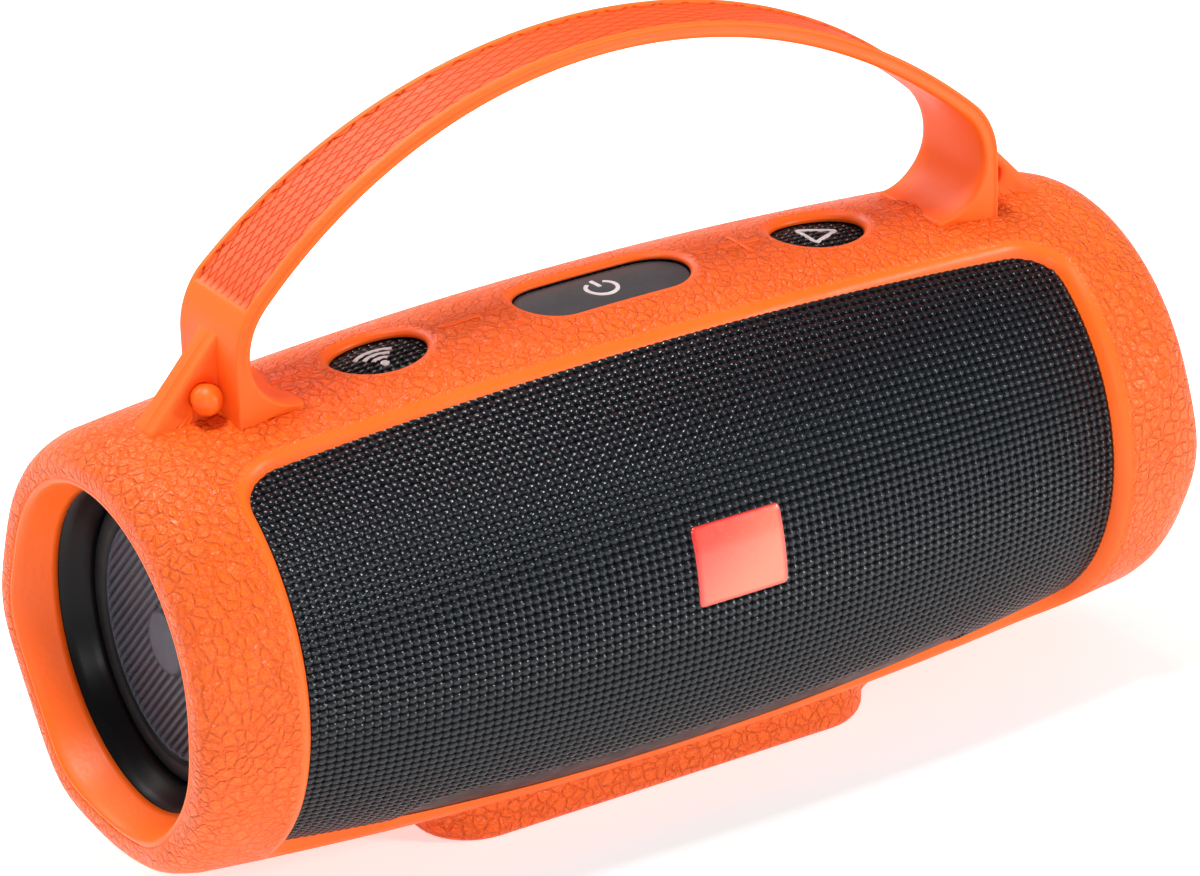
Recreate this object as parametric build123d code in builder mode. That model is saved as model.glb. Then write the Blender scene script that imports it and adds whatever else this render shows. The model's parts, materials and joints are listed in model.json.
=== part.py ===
from build123d import *
from math import cos, radians, sin, sqrt
import os

# Portable bluetooth speaker in a moulded silicone carrying sleeve, in millimetres.
# Frame: +X along the speaker, front = -Y, +Z up, origin under the middle of the foot pad.
# Angles about the speaker's axis are counted from the top towards the front.

os.makedirs("parts", exist_ok=True)

# Driving dimensions
axis_height = 50.5        # speaker axis above the surface that it stands on
half_span = 88.0          # where the barrel drops below are measured

fabric_radius = 45.6      # over the fabric, at the middle
fabric_drop = 5.9         # how much thinner the barrel is at half_span
fabric_thickness = 0.8
fabric_half_length = 99.4
housing_gap = 0.1         # fabric to housing, and sleeve to fabric
housing_wall = 2.2
housing_half_length = 93.0

sleeve_radius = 46.9
sleeve_drop = 4.0
sleeve_shoulder = 101.0   # where the barrel gives way to the end rim
end_half_length = 109.0   # end rim, half of the overall length
end_rim_outer = 38.6
end_rim_inner = 33.4
collar_depth_x = 100.8    # inner face of the end collar
collar_radius = 30.6

window_half_width = 87.75
window_top_angle = 26.2
window_bottom_angle = 149.5
window_corner = 9.0
opening_width = 16.0      # width of every opening over the buttons
power_length = 36.4
oval_length = 19.0
oval_x = 48.0
volume_x = 30.5

pad_half_length = 49.0
pad_half_width = 18.5
pad_height = 9.0

handle_centre = -16.2     # centre of the handle's arch, from the speaker axis
handle_arch = 110.0       # inside radius of the arch
handle_thickness = 3.2
bend_x = 66.2             # centre of the bend from the arch into the leg
bend_z = 54.7
bend_radius = 13.0
toe_radius = 10.5         # flared toe inside each leg
handle_mid_width = 15.0
handle_leg_width = 21.3
gusset_thickness = 6.2
gusset_top = (78.0, 62.7)
gusset_foot = (97.1, 41.7)
strap_hole_x = 85.8
strap_hole_z = 47.3
strap_hole_radius = 2.5

port_angle = 250.0
port_half_length = 26.0
port_half_angle = 10.2
port_cover_thickness = 1.5

driver_x = 38.0
driver_radius = 25.0
driver_hole = 21.5
baffle_y = -31.0
baffle_thickness = 2.6

radiator_x = 94.8
radiator_radius = 23.1
surround_radius = 27.3
frame_bore = 27.6

speaker_axis = Axis((0, 0, axis_height), (1, 0, 0))
section = Plane(origin=(0, 0, axis_height), x_dir=(1, 0, 0), z_dir=(0, -1, 0))


def curve_of(drop):
    """Radius of the long arc that drops by the given amount at half_span."""
    return (half_span**2 + drop**2) / (2 * drop)


def barrel_radius(x, middle, drop=fabric_drop):
    """Radius at x of a barrel with the given radius at its middle."""
    curve = curve_of(drop)
    return middle - curve + sqrt(curve**2 - x**2)


def radial_plane(angle):
    """Plane through the speaker's axis: local X along it, local Y outwards at the angle."""
    turn = radians(angle)
    return Plane(
        origin=(0, 0, axis_height), x_dir=(1, 0, 0), z_dir=(0, -cos(turn), -sin(turn))
    )


def outward_plane(angle, distance):
    """Plane square to the outward direction at the angle, local X along the speaker."""
    turn = radians(angle)
    outward = Vector(0, -sin(turn), cos(turn))
    return Plane(
        origin=Vector(0, 0, axis_height) + outward * distance, x_dir=(1, 0, 0), z_dir=outward
    )


def arc_point(centre_x, centre_z, radius, cosine, sine):
    """Point of a circle in the XZ section, by the cosine and sine of its angle."""
    return (centre_x + radius * cosine, centre_z + radius * sine)


def barrel(middle, half_length, drop=fabric_drop):
    """Solid barrel about the speaker's axis."""
    edge = barrel_radius(half_length, middle, drop)
    with BuildPart() as solid:
        with BuildSketch(section):
            with BuildLine():
                crown = ThreePointArc((-half_length, edge), (0, middle), (half_length, edge))
                Polyline(crown @ 1, (half_length, 0), (-half_length, 0), crown @ 0)
            make_face()
        revolve(axis=speaker_axis)
    return solid.part


def wedge(start, end, half_width, inner, outer, corner=0.0):
    """Block between two angles and two radii, with rounded corners seen from outside."""
    with BuildPart() as block:
        with BuildSketch(radial_plane(start)):
            with Locations((0, (inner + outer) / 2)):
                Rectangle(2 * half_width, outer - inner)
        revolve(axis=speaker_axis, revolution_arc=end - start)
        if corner:
            straight = block.edges().filter_by(GeomType.LINE)
            fillet(straight.filter_by(lambda e: abs(e.length - outer + inner) < 0.001), corner)
    return block.part


def rod(x, y, z, radius, length, direction=(0, 0, 1)):
    """Round bar from a point given from the speaker's axis."""
    start = Plane(origin=(x, y, axis_height + z), z_dir=direction)
    with BuildPart() as bar:
        with BuildSketch(start):
            Circle(radius)
        extrude(amount=length)
    return bar.part


def finish(builder, name):
    """Labels a piece and writes it."""
    builder.part.label = name
    export_step(builder.part, f"parts/{name}.step")


def write_group(solids, name):
    """Writes separate solids as one node."""
    group = Compound(children=solids)
    group.label = name
    export_step(group, f"parts/{name}.step")


# Housing, grille and fabric ------------------------------------------------

housing_radius = fabric_radius - fabric_thickness - housing_gap
inside_radius = housing_radius - housing_wall
grille_half_width = 79.0
grille_start = 38.0
grille_end = 142.0
boss_circle = 33.6
boss_radius = 2.6
screw_radius = 1.2
screw_clearance = 0.15
screw_angles = (45, 135, 225, 315)
end_screw_points = [
    (boss_circle * cos(radians(a)), boss_circle * sin(radians(a))) for a in screw_angles
]
button_gap = 0.3          # cap to housing and fabric
cap_inset = 0.3           # cap to the edge of the sleeve's opening, at the slot
minus_plus_radius = 6.0
clear_inside = 30.0       # cutters reach from here, under every wall,
clear_outside = 52.0      # to here, outside the sleeve
cut_height = 20.0
button_places = {
    "wireless_button": -oval_x,
    "minus_button": -volume_x,
    "power_button": 0.0,
    "plus_button": volume_x,
    "play_button": oval_x,
}

housing_body = barrel(housing_radius, housing_half_length)
housing_bore = barrel(inside_radius, housing_half_length + 1)
fabric_body = barrel(fabric_radius, fabric_half_length)
fabric_bore = barrel(fabric_radius - fabric_thickness, fabric_half_length + 1)
port_clearance = 0.4
port_hole = wedge(
    port_angle - port_half_angle - port_clearance,
    port_angle + port_half_angle + port_clearance,
    port_half_length + port_clearance, 36, clear_outside, 3.4,
)


def button_outline(name, grow):
    """Outline of one button cap, grown by the given distance."""
    with Locations((button_places[name], 0)):
        if name == "power_button":
            slot_length = power_length - 2 * cap_inset + 2 * grow
            SlotOverall(slot_length, opening_width - 2 * cap_inset + 2 * grow)
        elif name in ("minus_button", "plus_button"):
            Circle(minus_plus_radius + grow)
        else:
            reach = cap_inset + grow
            Ellipse(oval_length / 2 + reach, opening_width / 2 + reach)


def button_outlines(grow):
    """Outlines of all five caps, grown by the given distance."""
    for name in button_places:
        button_outline(name, grow)


with BuildPart() as main_housing:
    add(housing_body)
    add(housing_bore, mode=Mode.SUBTRACT)
    add(
        wedge(grille_start, grille_end, grille_half_width, clear_inside, clear_outside, 7),
        mode=Mode.SUBTRACT,
    )
    add(port_hole, mode=Mode.SUBTRACT)
    with BuildSketch(Plane.XY.offset(axis_height + clear_inside)):
        button_outlines(button_gap)
    extrude(amount=cut_height, mode=Mode.SUBTRACT)
    for side in (-1, 1):
        boss_plane = Plane(
            origin=(side * housing_half_length, 0, axis_height), x_dir=(0, 1, 0), z_dir=(-side, 0, 0)
        )
        with BuildSketch(boss_plane):
            with Locations(*end_screw_points):
                Circle(boss_radius)
        extrude(amount=9)
        with BuildSketch(boss_plane):
            with Locations(*end_screw_points):
                Circle(screw_radius + 0.05)
        extrude(amount=9, mode=Mode.SUBTRACT)
finish(main_housing, "main_housing")

slot_rows = 7
slot_columns = 6
slot_pitch_x = 25.0
slot_pitch_angle = 13.6
slot_length = 20.0
slot_width = 6.0
grille_gap = 0.3
grille_thickness = 1.8

with BuildPart() as front_grille:
    add(wedge(
        grille_start + grille_gap, grille_end - grille_gap, grille_half_width - grille_gap,
        clear_inside, clear_outside, 6.8,
    ))
    add(housing_body, mode=Mode.INTERSECT)
    grille_bore = barrel(housing_radius - grille_thickness, housing_half_length + 1)
    add(grille_bore, mode=Mode.SUBTRACT)
    for row in range(slot_rows):
        angle = 90 + slot_pitch_angle * (row - (slot_rows - 1) / 2)
        with BuildSketch(outward_plane(angle, clear_inside)):
            with GridLocations(slot_pitch_x, 1, slot_columns, 1):
                SlotOverall(slot_length, slot_width)
        extrude(amount=cut_height, mode=Mode.SUBTRACT)
finish(front_grille, "front_grille")

foot_start = 133.0
foot_half_length = 62.0
foot_corner = 9.0
foot_gap = 0.2

with BuildPart() as fabric_wrap:
    add(fabric_body)
    add(fabric_bore, mode=Mode.SUBTRACT)
    add(
        wedge(foot_start, 360 - foot_start, foot_half_length, 38, clear_outside, foot_corner),
        mode=Mode.SUBTRACT,
    )
    add(port_hole, mode=Mode.SUBTRACT)
    with BuildSketch(Plane.XY.offset(axis_height + clear_inside)):
        button_outlines(button_gap)
    extrude(amount=cut_height, mode=Mode.SUBTRACT)
finish(fabric_wrap, "fabric_wrap")

with BuildPart() as base_foot:
    add(wedge(
        foot_start + foot_gap, 360 - foot_start - foot_gap, foot_half_length - foot_gap,
        38, clear_outside, foot_corner - foot_gap,
    ))
    add(fabric_body, mode=Mode.INTERSECT)
    add(fabric_bore, mode=Mode.SUBTRACT)
finish(base_foot, "base_foot")

badge_angle = 80.2
badge_half_width = 9.6
badge_half_angle = 9.6
badge_proud = 0.7

with BuildPart() as badge_plate:
    add(wedge(
        badge_angle - badge_half_angle, badge_angle + badge_half_angle,
        badge_half_width, 40, clear_outside, 0.8,
    ))
    add(barrel(fabric_radius + badge_proud, fabric_half_length), mode=Mode.INTERSECT)
    add(barrel(fabric_radius + 0.02, fabric_half_length + 1), mode=Mode.SUBTRACT)
finish(badge_plate, "badge_plate")

# Silicone sleeve and handle -----------------------------------------------

sleeve_edge = barrel_radius(sleeve_shoulder, sleeve_radius, sleeve_drop)
sleeve_bore = barrel(fabric_radius + housing_gap, collar_depth_x)
port_window = wedge(
    port_angle - port_half_angle - 3.0, port_angle + port_half_angle + 2.0,
    port_half_length + 3.0, 36, 60, 5,
)

with BuildPart() as silicone_sleeve:
    with BuildSketch(section):
        with BuildLine():
            crown = ThreePointArc(
                (-sleeve_shoulder, sleeve_edge), (0, sleeve_radius), (sleeve_shoulder, sleeve_edge)
            )
            Polyline(
                crown @ 1,
                (end_half_length, end_rim_outer),
                (end_half_length, end_rim_inner),
                (collar_depth_x, collar_radius),
                (-collar_depth_x, collar_radius),
                (-end_half_length, end_rim_inner),
                (-end_half_length, end_rim_outer),
                crown @ 0,
            )
        outline = make_face()
        corners = outline.vertices()
        fillet(corners.filter_by(lambda v: abs(abs(v.Y) - end_rim_outer) < 0.01), 2.6)
    revolve(axis=speaker_axis)
    with BuildSketch(Plane.XY):
        RectangleRounded(2 * pad_half_length, 2 * pad_half_width, 12)
    extrude(amount=pad_height)
    fillet(silicone_sleeve.faces().sort_by(Axis.Z)[0].edges(), 2.4)
    add(sleeve_bore, mode=Mode.SUBTRACT)
    add(
        wedge(window_top_angle, window_bottom_angle, window_half_width, 36, 60, window_corner),
        mode=Mode.SUBTRACT,
    )
    add(port_window, mode=Mode.SUBTRACT)
    with BuildSketch(Plane.XY.offset(axis_height + clear_inside)):
        SlotOverall(power_length, opening_width)
        with Locations((-oval_x, 0), (oval_x, 0)):
            Ellipse(oval_length / 2, opening_width / 2)
    extrude(amount=cut_height, mode=Mode.SUBTRACT)
finish(silicone_sleeve, "silicone_sleeve")

sleeve_outside = barrel(sleeve_radius, sleeve_shoulder, sleeve_drop)
bend_reach = handle_arch - bend_radius
bend_sine = (bend_z - handle_centre) / bend_reach
bend_cosine = bend_x / bend_reach
outer_arch = handle_arch + handle_thickness
outer_bend = bend_radius + handle_thickness
leg_back = bend_x + outer_bend
half_turn = radians(22)
leg_root_z = 38.0         # hidden foot of the leg, inside the sleeve's radius
blank_height = 120.0      # taller than the handle


def plan_outline(inset):
    """Handle seen from above: narrow at the middle, wide at both legs."""
    half_mid = handle_mid_width / 2 - inset
    half_leg = handle_leg_width / 2 - inset
    with BuildLine() as outline:
        front = ThreePointArc((-76, -half_leg), (0, -half_mid), (76, -half_leg))
        back = ThreePointArc((-76, half_leg), (0, half_mid), (76, half_leg))
        Polyline(front @ 1, (90, -half_leg), (90, half_leg), back @ 1)
        Polyline(front @ 0, (-90, -half_leg), (-90, half_leg), back @ 0)
    return outline.edges()


grip_border = 1.4
grip_depth = 0.5
grip_cosine = 0.66
grip_sine = sqrt(1 - grip_cosine**2)

with BuildPart() as grip_recess:
    with BuildSketch(section):
        with BuildLine():
            low = arc_point(0, handle_centre, outer_arch - grip_depth, grip_cosine, grip_sine)
            high = arc_point(0, handle_centre, outer_arch + 3, grip_cosine, grip_sine)
            ThreePointArc((-low[0], low[1]), (0, handle_centre + outer_arch - grip_depth), low)
            ThreePointArc((-high[0], high[1]), (0, handle_centre + outer_arch + 3), high)
            Line(low, high)
            Line((-low[0], low[1]), (-high[0], high[1]))
        make_face()
    extrude(amount=handle_leg_width, both=True)
    with BuildSketch(Plane.XY.offset(axis_height)):
        make_face(plan_outline(grip_border))
    extrude(amount=blank_height, mode=Mode.INTERSECT)

with BuildPart() as carry_handle:
    with BuildSketch(section):
        with BuildLine():
            inner_start = arc_point(0, handle_centre, handle_arch, bend_cosine, bend_sine)
            inner_left = (-inner_start[0], inner_start[1])
            outer_start = arc_point(0, handle_centre, outer_arch, bend_cosine, bend_sine)
            outer_left = (-outer_start[0], outer_start[1])
            ThreePointArc(inner_left, (0, handle_centre + handle_arch), inner_start)
            ThreePointArc(outer_left, (0, handle_centre + outer_arch), outer_start)
            for side in (-1, 1):
                start = (side * inner_start[0], inner_start[1])
                middle = (side * (bend_x + bend_radius * cos(half_turn)),
                          bend_z + bend_radius * sin(half_turn))
                knee = (side * (bend_x + bend_radius), bend_z)
                ThreePointArc(start, middle, knee)
                toe_x = bend_x + bend_radius - toe_radius
                toe_middle = (side * (toe_x + toe_radius * cos(radians(45))),
                              bend_z - toe_radius * sin(radians(45)))
                toe = (side * toe_x, bend_z - toe_radius)
                ThreePointArc(knee, toe_middle, toe)
                outer_point = (side * outer_start[0], outer_start[1])
                outer_middle = (side * (bend_x + outer_bend * cos(half_turn)),
                                bend_z + outer_bend * sin(half_turn))
                outer_knee = (side * leg_back, bend_z)
                ThreePointArc(outer_point, outer_middle, outer_knee)
                Polyline(outer_knee, (side * leg_back, leg_root_z), (side * toe_x, leg_root_z), toe)
        make_face()
    extrude(amount=handle_leg_width / 2, both=True)
    with BuildSketch(Plane.XY.offset(axis_height)):
        make_face(plan_outline(0))
    extrude(amount=blank_height, mode=Mode.INTERSECT)
    with BuildSketch(section):
        for side in (-1, 1):
            with BuildLine():
                Polyline(
                    (side * gusset_top[0], gusset_top[1]),
                    (side * gusset_foot[0], gusset_foot[1]),
                    (side * gusset_foot[0], leg_root_z),
                    (side * (leg_back - 1), leg_root_z),
                    (side * (leg_back - 1), gusset_top[1] - 8),
                    (side * gusset_top[0], gusset_top[1]),
                )
            make_face()
    extrude(amount=gusset_thickness / 2, both=True)
    with BuildSketch(section):
        with Locations((-strap_hole_x, strap_hole_z), (strap_hole_x, strap_hole_z)):
            Circle(strap_hole_radius)
    extrude(amount=gusset_thickness, both=True, mode=Mode.SUBTRACT)
    add(sleeve_outside, mode=Mode.SUBTRACT)
    add(grip_recess.part, mode=Mode.SUBTRACT)
finish(carry_handle, "carry_handle")

stud_ball_radius = 2.9
stud_ball_y = -5.0
stud_shank_radius = 2.4
stud_head_radius = 3.2
gusset_face = gusset_thickness / 2

with BuildPart() as handle_ball_stud:
    with Locations((-strap_hole_x, stud_ball_y, axis_height + strap_hole_z)):
        Sphere(stud_ball_radius)
    shank_length = gusset_face - stud_ball_y + 0.1
    add(rod(-strap_hole_x, stud_ball_y, strap_hole_z, stud_shank_radius, shank_length, (0, 1, 0)))
    add(rod(-strap_hole_x, gusset_face, strap_hole_z, stud_head_radius, 1.2, (0, 1, 0)))
finish(handle_ball_stud, "handle_ball_stud")

# Ends: frame, rubber surround and radiator disc ---------------------------

frame_face_x = 100.6
frame_outer = barrel_radius(frame_face_x, fabric_radius) - 0.1
frame_neck_x = 95.6
surround_edge_x = 93.4
screw_head_radius = 2.3
screw_head_height = 1.4
end_screw_length = 11.0
end_screw_head_x = frame_neck_x + 1.6

for side, prefix in ((-1, "left"), (1, "right")):
    with BuildPart() as end_frame:
        with BuildSketch(section):
            Polygon(
                (side * frame_face_x, collar_radius - 0.2),
                (side * frame_face_x, frame_outer),
                (side * (fabric_half_length + 0.2), frame_outer),
                (side * (fabric_half_length + 0.2), frame_outer - 1.0),
                (side * (housing_half_length + 0.2), frame_outer - 1.0),
                (side * (housing_half_length + 0.2), frame_bore),
                (side * frame_neck_x, frame_bore),
                align=None,
            )
        revolve(axis=speaker_axis)
        screw_plane = Plane(
            origin=(side * (frame_face_x + 1), 0, axis_height), x_dir=(0, 1, 0), z_dir=(-side, 0, 0)
        )
        with BuildSketch(screw_plane):
            with Locations(*end_screw_points):
                Circle(screw_radius + screw_clearance)
        extrude(amount=20, mode=Mode.SUBTRACT)
        with BuildSketch(screw_plane):
            with Locations(*end_screw_points):
                Circle(screw_head_radius + screw_clearance)
        extrude(amount=frame_face_x + 1 - end_screw_head_x, mode=Mode.SUBTRACT)
    finish(end_frame, f"{prefix}_end_frame")

    with BuildPart() as surround:
        with BuildSketch(section):
            with BuildLine():
                inner_root = (side * surround_edge_x, radiator_radius - 1.6)
                outer_root = (side * surround_edge_x, surround_radius)
                outer_lip = (side * (surround_edge_x + 1.0), surround_radius)
                inner_lip = (side * (surround_edge_x + 1.0), radiator_radius + 0.2)
                roll_top = (side * (surround_edge_x + 2.6), (surround_radius + radiator_radius) / 2)
                ThreePointArc(outer_lip, roll_top, inner_lip)
                Polyline(
                    inner_lip,
                    (side * surround_edge_x, radiator_radius + 0.2),
                    (side * surround_edge_x, radiator_radius - 1.6),
                    (side * (surround_edge_x - 1.0), radiator_radius - 1.6),
                    (side * (surround_edge_x - 1.0), surround_radius),
                    outer_lip,
                )
            make_face()
        revolve(axis=speaker_axis)
    finish(surround, f"{prefix}_radiator_surround")

    with BuildPart() as disc:
        disc_plane = Plane(
            origin=(side * surround_edge_x, 0, axis_height), x_dir=(0, 1, 0), z_dir=(side, 0, 0)
        )
        with BuildSketch(disc_plane):
            Circle(radiator_radius)
        extrude(amount=radiator_x - surround_edge_x)
        with BuildSketch(disc_plane):
            Circle(radiator_radius - 1.8)
        extrude(amount=-3.0)
        with BuildSketch(disc_plane.offset(-3.0)):
            Circle(10)
        extrude(amount=-4.0)
    finish(disc, f"{prefix}_radiator_disc")

end_screws = [
    rod(side * (end_screw_head_x - 9.0), y, z, screw_radius, 9.0 + screw_head_height - 0.1, (side, 0, 0))
    + rod(side * end_screw_head_x, y, z, screw_head_radius, screw_head_height, (side, 0, 0))
    for side in (-1, 1)
    for y, z in end_screw_points
]
write_group(end_screws, "end_frame_screws")

# Baffle and drivers -------------------------------------------------------

baffle_half_width = 78.0
driver_screw_circle = 23.2
driver_screw_offset = driver_screw_circle * sin(radians(45))
driver_screw_points = [
    (centre + dx * driver_screw_offset, dz * driver_screw_offset)
    for centre in (-driver_x, driver_x)
    for dx in (-1, 1)
    for dz in (-1, 1)
]
baffle_plane = Plane(origin=(0, baffle_y, axis_height), x_dir=(1, 0, 0), z_dir=(0, -1, 0))
baffle_back = baffle_y + baffle_thickness

with BuildPart() as front_baffle:
    with BuildSketch(baffle_plane):
        RectangleRounded(2 * baffle_half_width, 2 * 30.0, 6)
    extrude(amount=-baffle_thickness)
    add(barrel(inside_radius - 0.1, housing_half_length), mode=Mode.INTERSECT)
    with BuildSketch(baffle_plane):
        with Locations((-driver_x, 0), (driver_x, 0)):
            Circle(driver_hole)
        with Locations(*driver_screw_points):
            Circle(screw_radius + 0.05)
    extrude(amount=-baffle_thickness, mode=Mode.SUBTRACT)
finish(front_baffle, "front_baffle")

gasket_thickness = 0.8
flange_thickness = 1.6
basket_bore = 20.4
basket_depth = 12.0
magnet_front = -basket_depth - 1.5
magnet_radius = 14.0
magnet_depth = 9.0
gap_inner = 8.6
gap_outer = 10.4
coil_inner = 9.2
coil_outer = 9.8
cone_edge = 19.9


def toward_back(centre, distance):
    """Plane square to Y at a distance in front of the baffle, its normal to the front."""
    return Plane(
        origin=(centre, baffle_y - distance, axis_height), x_dir=(1, 0, 0), z_dir=(0, -1, 0)
    )


def driver_section(centre):
    """Half section of a driver: local X outwards from its axis, local Y to the front."""
    return Plane(
        origin=(centre, baffle_y, axis_height), x_dir=(1, 0, 0), z_dir=(0, 0, -1)
    )


for centre, prefix in ((-driver_x, "left"), (driver_x, "right")):
    driver_axis = Axis((centre, baffle_y, axis_height), (0, -1, 0))
    local_screws = [(x - centre, z) for x, z in driver_screw_points if (x > 0) == (centre > 0)]

    with BuildPart() as gasket:
        with BuildSketch(toward_back(centre, 0)):
            Circle(driver_radius)
            Circle(driver_hole, mode=Mode.SUBTRACT)
            with Locations(*local_screws):
                Circle(screw_radius + screw_clearance, mode=Mode.SUBTRACT)
        extrude(amount=gasket_thickness)
    finish(gasket, f"{prefix}_driver_gasket")

    flange_back = gasket_thickness
    with BuildPart() as basket:
        with BuildSketch(driver_section(centre)):
            Polygon(
                (basket_bore, flange_back + flange_thickness),
                (driver_radius, flange_back + flange_thickness),
                (driver_radius, flange_back),
                (driver_hole - 0.3, flange_back),
                (driver_hole - 0.5, -5.0),
                (magnet_radius + 1, -basket_depth),
                (magnet_radius + 1, magnet_front),
                (gap_outer + 0.4, magnet_front),
                (gap_outer + 0.4, -basket_depth),
                (magnet_radius - 0.4, -basket_depth),
                (basket_bore - 0.2, -4.6),
                align=None,
            )
        revolve(axis=driver_axis)
        with BuildSketch(toward_back(centre, 0)):
            with Locations(*local_screws):
                Circle(screw_radius + screw_clearance)
        extrude(amount=6, mode=Mode.SUBTRACT)
        with BuildSketch(toward_back(centre, -basket_depth - 0.5)):
            with PolarLocations(18.0, 6):
                Circle(3.4)
        extrude(amount=7, mode=Mode.SUBTRACT)
    finish(basket, f"{prefix}_driver_basket")

    with BuildPart() as magnet:
        with BuildSketch(toward_back(centre, magnet_front)):
            Circle(magnet_radius)
        extrude(amount=-magnet_depth)
        with BuildSketch(toward_back(centre, magnet_front)):
            Circle(gap_outer)
            Circle(gap_inner, mode=Mode.SUBTRACT)
        extrude(amount=-6.5, mode=Mode.SUBTRACT)
    finish(magnet, f"{prefix}_driver_magnet")

    with BuildPart() as coil:
        with BuildSketch(toward_back(centre, -basket_depth + 1.0)):
            Circle(coil_outer)
            Circle(coil_inner, mode=Mode.SUBTRACT)
        extrude(amount=-5.5)
    finish(coil, f"{prefix}_voice_coil")

    with BuildPart() as cone:
        with BuildSketch(driver_section(centre)):
            with BuildLine():
                dust_cap = ThreePointArc((0, -6.0), (5.5, -6.9), (9.0, -9.4))
                Polyline(dust_cap @ 1, (17.0, -1.2))
                ThreePointArc((17.0, -1.2), (18.5, 0.4), (cone_edge, -1.2))
                Polyline(
                    (cone_edge, -1.2), (cone_edge, -2.0), (17.2, -2.0), (9.8, -11.0), (0, -11.0),
                    (0, -6.0),
                )
            make_face()
        revolve(axis=driver_axis)
        with BuildSketch(toward_back(centre, -11.0)):
            Circle(coil_inner - 0.7)
        extrude(amount=1.2, mode=Mode.SUBTRACT)
    finish(cone, f"{prefix}_driver_cone")

driver_screws = [
    rod(x, baffle_y + 5.5 - 0.1, z, screw_radius, 5.4 + gasket_thickness + flange_thickness, (0, -1, 0))
    + rod(x, baffle_y - gasket_thickness - flange_thickness, z, 1.9, 1.2, (0, -1, 0))
    for x, z in driver_screw_points
]
write_group(driver_screws, "driver_screws")

# Battery and boards -------------------------------------------------------

cell_radius = 9.2
cell_length = 65.0
cell_gap = 1.0
cell_y = 14.0
cell_z = 12.0
holder_half_length = cell_length + cell_gap / 2 + 2.5

for side, prefix in ((-1, "left"), (1, "right")):
    with BuildPart() as cell:
        cell_start = side * cell_gap / 2
        cell_plane = Plane(
            origin=(cell_start, cell_y, axis_height + cell_z), x_dir=(0, 1, 0), z_dir=(side, 0, 0)
        )
        with BuildSketch(cell_plane):
            Circle(cell_radius)
        extrude(amount=cell_length - 1.0)
        with BuildSketch(cell_plane.offset(cell_length - 1.0)):
            Circle(2.8)
        extrude(amount=1.0)
    finish(cell, f"{prefix}_battery_cell")

with BuildPart() as battery_holder:
    holder_plane = Plane(
        origin=(-holder_half_length, cell_y, axis_height + cell_z), x_dir=(0, 1, 0), z_dir=(1, 0, 0)
    )
    with BuildSketch(holder_plane):
        with Locations((0, -3.5)):
            RectangleRounded(2 * cell_radius + 3.0, 14.0, 1.5)
    extrude(amount=2 * holder_half_length)
    with BuildSketch(holder_plane.offset(2.2)):
        Circle(cell_radius + 0.1)
    extrude(amount=2 * holder_half_length - 4.4, mode=Mode.SUBTRACT)
finish(battery_holder, "battery_holder")

board_distance = 25.0
board_thickness = 1.6
board_length = 104.0
board_width = 34.0
chip_places = [(-36, 4, 10, 10), (-16, 8, 7, 7), (22, 9, 12, 8), (40, 5, 6, 12)]

with BuildPart() as main_board:
    board_plane = outward_plane(port_angle, board_distance)
    with BuildSketch(board_plane):
        RectangleRounded(board_length, board_width, 2)
        with GridLocations(board_length - 8, board_width - 8, 2, 2):
            Circle(1.6, mode=Mode.SUBTRACT)
    extrude(amount=-board_thickness)
    for chip_x, chip_y, chip_length, chip_width in chip_places:
        with BuildSketch(board_plane):
            with Locations((chip_x, chip_y)):
                Rectangle(chip_length, chip_width)
        extrude(amount=1.4)
    with BuildSketch(board_plane):
        with Locations((-46, -9), (46, -10)):
            Circle(3.2)
    extrude(amount=4.5)
finish(main_board, "main_board")

key_board_z = 29.3
key_board_thickness = 1.6
key_switch_height = 3.3
key_switch_top = 35.6
key_places = [-oval_x, -volume_x, 0.0, volume_x, oval_x]
key_plane = Plane.XY.offset(axis_height + key_board_z)

with BuildPart() as button_board:
    with BuildSketch(key_plane):
        RectangleRounded(122, 18, 3)
        with GridLocations(76, 12, 2, 2):
            Circle(1.2, mode=Mode.SUBTRACT)
    extrude(amount=key_board_thickness)
finish(button_board, "button_board")

tact_switches = []
for key_x in key_places:
    with BuildPart() as switch:
        with BuildSketch(key_plane.offset(key_board_thickness)):
            with Locations((key_x, 0)):
                Rectangle(6, 6)
        extrude(amount=key_switch_height)
        with BuildSketch(key_plane.offset(key_board_thickness + key_switch_height)):
            with Locations((key_x, 0)):
                Circle(1.7)
        extrude(amount=key_switch_top - key_board_z - key_board_thickness - key_switch_height)
    tact_switches.append(switch.part)
write_group(tact_switches, "tact_switches")

# Buttons ------------------------------------------------------------------

press_gap = 0.9           # stem to switch before a press
stem_radius = 2.2
cap_flange = 1.3
flange_reach = 0.7        # how far a flange reaches behind the housing
power_top = fabric_radius - 0.4
fabric_cap_top = fabric_radius - 0.3
flange_top_drop = housing_gap + fabric_thickness + housing_wall + 1.8   # clear of the housing


for name, place in button_places.items():
    top = power_top if name == "power_button" else fabric_cap_top
    flange_z = barrel_radius(abs(place) + opening_width / 2, fabric_radius) - flange_top_drop
    with BuildPart() as button:
        with BuildSketch(Plane.XY.offset(axis_height + flange_z)):
            button_outline(name, 0.0)
        extrude(amount=cut_height)
        add(barrel(top, housing_half_length), mode=Mode.INTERSECT)
        with BuildSketch(Plane.XY.offset(axis_height + flange_z)):
            button_outline(name, flange_reach)
        extrude(amount=-cap_flange)
        with BuildSketch(Plane.XY.offset(axis_height + flange_z - cap_flange)):
            with Locations((place, 0)):
                Circle(stem_radius)
        stem = flange_z - cap_flange - key_switch_top - press_gap
        extrude(amount=-stem)
    finish(button, name)

# Ports --------------------------------------------------------------------

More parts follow.
